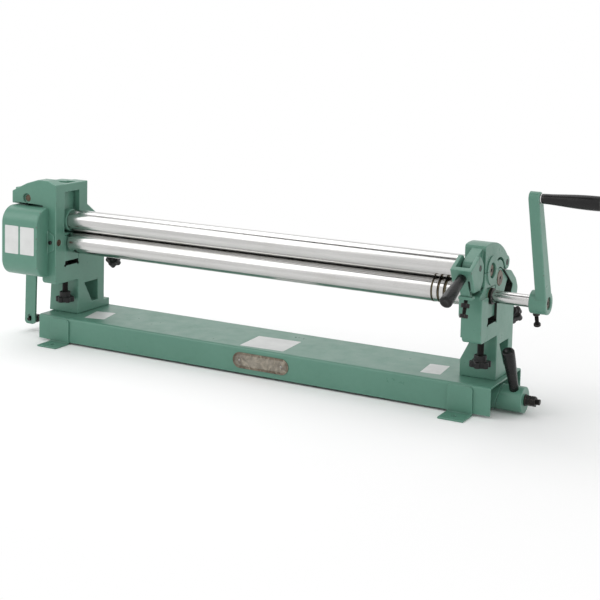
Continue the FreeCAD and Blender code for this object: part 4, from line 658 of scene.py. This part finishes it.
def roll(name, node, y, z, journal, grooves):
    """A ground roll on journals of one radius, with wire grooves near its crank end."""
    low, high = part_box(node)
    start, whole = low.x, (high.x - low.x) * 1000
    first = (ROLL_START - start) * 1000
    last = first + ROLL_LENGTH
    shaft_end = CENTRE_HOLE + ((journal - 1, 0), (journal, 1), (journal, first))
    profile = list(shaft_end) + [(radius, first + along) for radius, along in ROLL_CORNER]
    for number in reversed(range(grooves)):
        middle = last - GROOVE_FIRST - GROOVE_PITCH * number
        profile += groove(middle, GROOVE_RADIUS * (1 - 0.2 * number))
    profile += [(radius, last - along) for radius, along in reversed(ROLL_CORNER)] + [(journal, last)]
    profile += [(radius, whole - along) for radius, along in reversed(shaft_end[:-1])]
    finishes = [STEEL, GROOVE_OIL, SPOT_STEEL, PIN_OIL, RECESS_SHADE]

    def finish(face):
        """Oil in the grooves, near-black painted shade in the centre hole of an oily shaft end, turned
        shoulders, ground steel.
        """
        centre = face.calc_center_median()
        along = (centre.x - start) * 1000
        out = math.hypot(centre.y - y, centre.z - z) * 1000
        if first + 2 < along < last - 2 and out < ROLL_RADIUS - 0.6:
            return finishes.index(GROOVE_OIL)
        if min(along, whole - along) < HOLE_DEPTH + 0.5:
            # The centre hole takes the near-black painted shade.
            return finishes.index(RECESS_SHADE if out < HOLE_RADIUS + 0.1 else PIN_OIL)
        return finishes.index(SPOT_STEEL if abs(face.normal.x) > 0.8 else STEEL)

    bm = crease(lathe(X, (start, y, z), profile, 96), 32.0)
    return dress(name, bm, finishes, "ground_steel", node, choose=finish)


roll("lower_working_roll", "lower_roll", ROLL_Y, LOW_Z, 12.5, 3)
roll("top_working_roll", "top_roll", ROLL_Y, TOP_Z, 12.5, 0)
roll("rear_working_roll", "rear_roll", REAR_Y, REAR_Z, 16.0, 3)

# ------------------------------------------------------------------ screws with real threads

THREAD_LAP = 0.5                            # how far a thread or point reaches back, in millimetres
POINT_RADIUS = 2.5

def far_end(node, direction):
    """The middle of a node's face at the far end of a direction."""
    aim = Vector(direction).normalized()
    spots = [vertex.co for vertex in NODES[node].data.vertices]
    far = max(spot.dot(aim) for spot in spots)
    rim = [spot for spot in spots if far - spot.dot(aim) < 2e-5]
    return Vector([(min(reach) + max(reach)) / 2 for reach in zip(*rim)])


def tilted(degrees, up=1.0):
    """A direction in the YZ plane, toward the front by an angle from straight up or down."""
    return Vector((0, -math.sin(math.radians(degrees)), up * math.cos(math.radians(degrees))))


def opened(bm, spot, way):
    """Cuts a shape off square beyond a point and closes the cut."""
    cut = bmesh.ops.bisect_plane(bm, geom=bm.verts[:] + bm.edges[:] + bm.faces[:], plane_co=spot,
                                 plane_no=way, clear_outer=True)
    rim = [edge for edge in cut["geom_cut"] if isinstance(edge, bmesh.types.BMEdge)]
    bmesh.ops.edgeloop_fill(bm, edges=rim)
    return bm


def stud(name, node, direction, radius, pitch):
    """A screw that is threaded from end to end, its radius and pitch in millimetres."""
    start, end = far_end(node, -Vector(direction)), far_end(node, direction)
    bm = threaded(radius, pitch, (end - start).length * 1000)
    stand(bm, direction, start)
    dress(name, crease(bm), OXIDE, "black_oxide", node, flats=False)


def screw(name, node, direction, radius, pitch, shank, point=0.0):
    """A node's own head with a threaded shank toward a direction, and a plain point where it has
    one, all in millimetres."""
    aim = Vector(direction).normalized()
    end = far_end(node, aim)
    seam = end - aim * shank / 1000
    head = eased(opened(merged(node), seam, aim), SMALL_EDGE, 2)
    thread = threaded(radius, pitch, shank - point + THREAD_LAP)
    stand(thread, aim, seam - aim * (THREAD_LAP / 1000))
    shapes = [head, thread]
    if point:
        whole = point + THREAD_LAP
        outline = [(0, 0), (POINT_RADIUS, 0), (POINT_RADIUS, point), (POINT_RADIUS - 0.4, whole),
                   (0, whole)]
        shapes.append(lathe(aim, end - aim * whole / 1000, outline, 24))
    dress(name, crease(joined(*shapes), 42.0), OXIDE, "black_oxide", node, flats=False)


for side in SIDES:
    stud("lower_adjuster_" + side, "lower_screw_" + side, Z, radius=7.0, pitch=2.0)
    stud("rear_adjuster_" + side, "rear_screw_" + side, REAR_WAY, radius=6.0, pitch=2.0)
screw("clamp_bolt", "clamp_screw", tilted(-19.0), radius=4.0, pitch=1.25, shank=40.0, point=6.0)
screw("set_screw", "crank_set_screw", tilted(19.5), radius=4.0, pitch=1.25, shank=36.4)
screw("rod", "pull_rod", X, radius=6.0, pitch=1.75, shank=30.0)

# ------------------------------------------------------------------ handles

# Lengths and diameters in millimetres.
LIFT_LONG, RELEASE_LONG, CRANK_LONG = 101.0, 88.0, 112.0
HANDLE_SMALL, HANDLE_LARGE = 19.0, 25.0
HANDLE_RIM, CRANK_RIM = 4.6, 3.8            # rounding of the outer ends
SWELL_FROM, SWELL_SHARE = 0.10, 0.74        # where a lever handle swells, as shares of its length

# Two corners of the yoke's end face, where the release handle is cut to fit.
YOKE_TOP = Vector((0.0, ROLL_Y - 0.125, TOP_Z + 0.0184))
YOKE_FOOT = Vector((0.0, ROLL_Y - 0.092, TOP_Z - 0.0442))
YOKE_OUT = (YOKE_FOOT - YOKE_TOP).cross(X).normalized()


def rim(radius, end, soft):
    """A quarter circle from a handle's side over to its end."""
    quarter = [math.pi / 2 * step / 6 for step in range(7)]
    return [(radius - soft + soft * math.cos(turn), end - soft + soft * math.sin(turn))
            for turn in quarter]


def swelling(length):
    """Half outline of a lever's handle that swells from its root to a rounded, sunk end."""
    thin, wide = HANDLE_SMALL / 2, HANDLE_LARGE / 2
    outline = [(0, 0), (thin - 0.8, 0), (thin, 0.8)]
    for step in range(13):
        share = step / 12
        swell = 3 * share ** 2 - 2 * share ** 3
        outline.append((thin + (wide - thin) * swell, length * (SWELL_FROM + SWELL_SHARE * share)))
    outline += rim(wide, length, HANDLE_RIM)
    return outline + [(wide * 0.45, length), (wide * 0.40, length - 0.5), (0, length - 0.5)]


def barrel(length):
    """Half outline of the crank's turning grip: a collar, a swelling barrel and a bored end."""
    bore, mouth, collar, neck, widest = 5.08, 8.0, 8.5, 9.8, 14.0
    swell_start, swell_long, mouth_deep = 10.0, 86.0, 7.0
    outline = [(bore, 0.6), (bore + 0.6, 0), (collar, 0), (collar + 0.7, 0.3), (collar + 1.0, 1.0)]
    outline.append((neck, 8.0))
    for step in range(15):
        share = step / 14
        swell = math.sin(share * math.pi / 2) ** 1.3
        outline.append((neck + (widest - neck) * swell, swell_start + swell_long * share))
    outline += rim(widest, length, CRANK_RIM)
    return outline + [(mouth + 0.5, length), (mouth, length - 0.5), (mouth, length - mouth_deep),
                      (bore, length - mouth_deep), (bore, 0.6)]


def handle(name, node, direction, length, profile, trim=None):
    """A plastic handle that ends where its node ends, cut off at its root where it meets a slope."""
    aim = Vector(direction).normalized()
    bm = lathe(aim, far_end(node, aim) - aim * length / 1000, profile)
    if trim:
        opened(bm, *trim)
    return dress(name, crease(bm, 60.0), HANDLE, "black_plastic", node, flats=False)


handle("lift_lever_handle", "lift_handle", tilted(27.0), LIFT_LONG, swelling(LIFT_LONG))
handle("release_handle", "yoke_handle", tilted(68.0, up=-1.0), RELEASE_LONG, swelling(RELEASE_LONG),
       (YOKE_TOP, -YOKE_OUT))
handle("crank_handgrip", "crank_grip", X, CRANK_LONG, barrel(CRANK_LONG))

# ------------------------------------------------------------------ name plate and blank labels

# Each ring of the plate from its rim inward, in metres: how wide it is and how far it rises.
PLATE_RINGS = ((0.0016, 0.0), (0.0005, -0.0005), (0.0018, 0.0), (0.0004, 0.0003), (0.0006, 0.0),
               (0.0004, -0.0003))
# Half outline of a rivet's head, from the plate up.
RIVET = ((0, 0), (3.0, 0), (3.0, 0.35), (2.75, 0.8), (2.2, 1.18), (1.4, 1.42), (0.6, 1.5), (0, 1.5))
RIVET_RADIUS = 0.003                        # metres
FILM, FILM_CORNER = 0.00012, 0.0022         # a label's thickness and corner radius, in metres
COVER_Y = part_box("gear_guard")[0].y - FILM
DECK_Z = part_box("base_channel")[1].z + FILM


def name_plate():
    """A bare oval plate: a raised rim, a sunk field and a second fine line inside it."""
    bm = merged("name_plate")
    face = min(bm.faces, key=lambda each: each.normal.y * each.calc_area())
    for width, rise in PLATE_RINGS:
        bmesh.ops.inset_region(bm, faces=[face], thickness=width, depth=0.0, use_even_offset=True)
        for vertex in face.verts:
            vertex.co.y -= rise         # the plate faces -Y
    field = face.calc_area()
    return dress("maker_plate_blank", crease(bm, 40.0), [PLATE_RIM, PLATE], "plate_metal", "name_plate",
                 choose=lambda each: 1 if each.calc_area() > 0.5 * field else 0)


def plate_rivets():
    """Domed heads at the two ends of the plate."""
    low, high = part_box("plate_rivets")
    foot_z = (low.z + high.z) / 2
    heads = joined(*(lathe(-Y, (x, high.y, foot_z), RIVET, 24)
                     for x in (low.x + RIVET_RADIUS, high.x - RIVET_RADIUS)))
    return dress("plate_rivet_heads", heads, SPOT_STEEL, "plate_metal", "plate_rivets", flats=False)


name_plate()
plate_rivets()


def label(wide, tall, place, up, out):
    """A blank film label with round corners, in metres."""
    bm = bmesh.new()
    bmesh.ops.create_grid(bm, x_segments=1, y_segments=1, size=0.5)
    bmesh.ops.scale(bm, vec=(wide, tall, 1.0), verts=bm.verts[:])
    bmesh.ops.bevel(bm, geom=bm.verts[:], offset=FILM_CORNER, offset_type="OFFSET", segments=4,
                    profile=0.5, affect="VERTICES", material=-1)
    bmesh.ops.solidify(bm, geom=bm.faces[:], thickness=FILM)
    bmesh.ops.recalc_face_normals(bm, faces=bm.faces[:])
    out, up = Vector(out), Vector(up).normalized()
    turn = Matrix((up.cross(out), up, out)).transposed().to_4x4()
    bmesh.ops.transform(bm, matrix=Matrix.Translation(place) @ turn, verts=bm.verts[:])
    return bm


def labels(name, node, *films):
    """Several labels as one piece, on the body that a node belongs to."""
    return dress(name, crease(joined(*films)), LABEL, None, body=NODES[node]["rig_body"])


labels("cover_labels", "gear_guard",
       label(0.0400, 0.0660, (-0.5867, COVER_Y, 0.2524), Z, -Y),
       label(0.0410, 0.0650, (-0.5411, COVER_Y, 0.2524), Z, -Y))
labels("deck_labels", "base_channel",
       label(0.0500, 0.0700, (-0.4385, -0.0237, DECK_Z), (-0.22, 0.975, 0.0), Z),
       label(0.1060, 0.0950, (0.0326, -0.0281, DECK_Z), (-0.06, 0.998, 0.0), Z),
       label(0.0430, 0.0720, (0.4212, -0.0204, DECK_Z), (-0.10, 0.995, 0.0), Z))

# ------------------------------------------------------------------ small things on the castings

BEAD_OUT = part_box("base_channel")[1].y + 0.0012         # a bead's middle, beside the base, in metres
BEAD_STEP = 1.2                             # from one lump to the next, in millimetres
PLUG_PLACE = (LEFT_FACE, -0.1145, 0.246)    # a hole in the left frame's face
# Half outline of the plug, from inside the hole outward.
PLUG = ((0, -6.0), (7.9, -6.0), (7.9, -1.4), (7.4, -0.9), (5.2, -0.9), (4.6, -1.5), (2.2, -1.6),
        (1.8, -1.1), (0, -1.0))


def weld_bead(name, node):
    """A lumpy painted bead along the top of a foot's upright, against the side of the base."""
    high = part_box(node)[1].z
    top = [vertex.co for vertex in NODES[node].data.vertices if vertex.co.z > high - 0.0004]
    start, end = min(spot.x for spot in top), max(spot.x for spot in top)
    side = 1 if top[0].y > 0 else -1
    profile = [(0, 0), (0.9, 0.2)]
    count = int((end - start) / (BEAD_STEP / 1000))
    for lump in range(count):
        # Two waves of unlike length keep the lumps uneven, and each bead starts elsewhere on them.
        thick = 1.45 + 0.30 * math.sin(1.9 * lump + start * 90) + 0.22 * math.sin(0.83 * lump)
        profile.append((thick, BEAD_STEP * lump + 1.0))
    profile += [(0.9, BEAD_STEP * count + 0.6), (0, BEAD_STEP * count + 0.8)]
    bm = lathe(X, (start, side * BEAD_OUT, high - 0.0003), profile, 20)
    dress(name, bm, CAST_PAINT, "green_paint", body=NODES[node]["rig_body"], flats=False)


for side in FEET:
    weld_bead("weld_bead_" + side, "foot_" + side)
dress("leg_plug", crease(lathe(X, PLUG_PLACE, PLUG, 40), 40.0), PIN_OIL, "black_oxide",
      body=NODES["left_end_frame"]["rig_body"])

# ------------------------------------------------------------------ stage

WHITE = rgb(1.0, 1.0, 1.0)
DAYLIGHT = 0.78                             # the world's light on the machine
BACKDROP = 1.0                              # how bright the camera and mirrors see it
FADE_FROM, FADE_TO = 0.42, 1.10             # where the floor fades into the backdrop, in metres
FADE_STRETCH = (0.6, 1.0, 1.0)              # the fade starts further out along the rolls

# The camera's place in metres, its angles in degrees and its lens in millimetres.
EYE = (1.44825, -2.54909, 0.80586)
EYE_TURN, EYE_DIP, EYE_LEAN = 29.1415, 5.4913, 1.1996
SENSOR, FOCAL = 36.0, 79.888
SHIFT_ACROSS, SHIFT_UP = 0.03479, -0.27546


def softbox(name, spot, target, wide, tall, glow):
    """A soft box that is as bright as its glow says, whatever its size."""
    light = bpy.data.lights.new(name, "AREA")
    light.shape = "RECTANGLE"
    light.size = wide
    light.size_y = tall
    light.energy = glow * math.pi * wide * tall
    lamp = bpy.data.objects.new(name, light)
    bpy.context.scene.collection.objects.link(lamp)
    lamp.location = spot
    lamp.rotation_euler = (Vector(target) - Vector(spot)).to_track_quat("-Z", "Y").to_euler()
    lamp.visible_camera = False


def on_stage(name, bm):
    """Makes a thing that belongs to the stage and not to the machine."""
    mesh = bpy.data.meshes.new(name)
    bm.to_mesh(mesh)
    bm.free()
    thing = bpy.data.objects.new(name, mesh)
    bpy.context.scene.collection.objects.link(thing)
    return thing


def dark_strip(spot, long, wide):
    """A dark gap between the two soft boxes, which only mirrors see."""
    bm = bmesh.new()
    bmesh.ops.create_grid(bm, x_segments=1, y_segments=1, size=0.5)
    bmesh.ops.scale(bm, vec=(long, wide, 1.0), verts=bm.verts[:])
    bmesh.ops.translate(bm, vec=spot, verts=bm.verts[:])
    strip = on_stage("dark_strip", bm)
    for ray in ("camera", "diffuse", "shadow", "transmission"):
        setattr(strip, "visible_" + ray, False)
    cloth = Finish("strip_cloth")
    strip.data.materials.append(cloth.give(Base_Color=rgb(0.02, 0.02, 0.02), Roughness=0.9))


def seen_directly(tree):
    """1 for camera, mirror and glass rays, which see the backdrop as white."""
    path = tree.nodes.new("ShaderNodeLightPath")
    first = tree.nodes.new("ShaderNodeMath")
    second = tree.nodes.new("ShaderNodeMath")
    first.operation = second.operation = "MAXIMUM"
    tree.links.new(path.outputs["Is Camera Ray"], first.inputs[0])
    tree.links.new(path.outputs["Is Glossy Ray"], first.inputs[1])
    tree.links.new(first.outputs[0], second.inputs[0])
    tree.links.new(path.outputs["Is Transmission Ray"], second.inputs[1])
    return second.outputs[0]


def make_world():
    """Plain daylight from all round, which the camera and mirrors see as white."""
    world = bpy.data.worlds.new("studio")
    bpy.context.scene.world = world
    world.use_nodes = True
    tree = world.node_tree
    tree.nodes.clear()
    mix = tree.nodes.new("ShaderNodeMixShader")
    tree.links.new(seen_directly(tree), mix.inputs[0])
    for strength, socket in ((DAYLIGHT, mix.inputs[1]), (BACKDROP, mix.inputs[2])):
        light = tree.nodes.new("ShaderNodeBackground")
        light.inputs["Color"].default_value = WHITE
        light.inputs["Strength"].default_value = strength
        tree.links.new(light.outputs[0], socket)
    out = tree.nodes.new("ShaderNodeOutputWorld")
    tree.links.new(mix.outputs[0], out.inputs["Surface"])


def make_floor():
    """A pale paper floor that keeps the shadow and fades into the white backdrop round it."""
    bm = bmesh.new()
    bmesh.ops.create_grid(bm, x_segments=8, y_segments=8, size=30.0)
    floor = on_stage("floor", bm)
    paper, paler = rgb(0.960, 0.960, 0.960), rgb(0.970, 0.970, 0.970)
    coat = Finish("floor_paper")
    colour = coat.blend(coat.between(coat.noise(3.0, 4.0), 0.0, 1.0), paper, paler)
    coat.give(Base_Color=colour, Roughness=0.9, Specular_IOR_Level=0.0)
    glow = coat.node("ShaderNodeEmission", {"Color": WHITE, "Strength": BACKDROP})
    away = coat.node("ShaderNodeVectorMath", {0: coat.stretched(FADE_STRETCH)}, operation="LENGTH")
    fade = coat.node("ShaderNodeMapRange", {"Value": away.outputs["Value"], "From Min": FADE_FROM,
                                            "From Max": FADE_TO}, interpolation_type="SMOOTHSTEP")
    mix = coat.node("ShaderNodeMixShader")
    coat.feed(mix, 0, coat.times(fade.outputs["Result"], seen_directly(coat.tree)))
    coat.tree.links.new(coat.surface.outputs[0], mix.inputs[1])
    coat.tree.links.new(glow.outputs[0], mix.inputs[2])
    coat.tree.links.new(mix.outputs[0], coat.tree.nodes["Material Output"].inputs["Surface"])
    floor.data.materials.append(coat.material)


def make_camera():
    """The camera at its place, turned, dipped and leaned by its three angles."""
    turn, dip, lean = (math.radians(angle) for angle in (EYE_TURN, EYE_DIP, EYE_LEAN))
    ahead = Vector((-math.sin(turn) * math.cos(dip), math.cos(turn) * math.cos(dip), -math.sin(dip)))
    side = Vector((math.cos(turn), math.sin(turn), 0.0))
    over = side.cross(ahead)
    right = math.cos(lean) * side + math.sin(lean) * over
    up = math.cos(lean) * over - math.sin(lean) * side
    pose = Matrix((right, up, -ahead)).transposed().to_4x4()
    pose.translation = EYE
    lens = bpy.data.cameras.new("camera")
    lens.sensor_width = SENSOR
    lens.lens = FOCAL
    lens.shift_x = SHIFT_ACROSS
    lens.shift_y = SHIFT_UP
    lens.clip_start = 0.02
    lens.clip_end = 200.0
    camera = bpy.data.objects.new("camera", lens)
    camera.matrix_world = pose
    bpy.context.scene.collection.objects.link(camera)
    bpy.context.scene.camera = camera


make_world()
make_floor()
make_camera()
softbox("front_softbox", (-1.5, -1.54, 1.86), (-0.4, -0.5, 0.1), wide=1.9, tall=2.1, glow=1.50)
softbox("top_softbox", (-1.3, 0.85, 2.6), (-0.9, 0.6, 0.2), wide=1.9, tall=2.2, glow=1.50)
softbox("right_fill", (3.2, -1.0, 1.6), (0.5, 0.0, 0.2), wide=1.6, tall=1.6, glow=1.1)
dark_strip((-1.25, -0.62, 2.46), long=3.4, wide=0.72)

bpy.context.scene.view_settings.view_transform = "Standard"
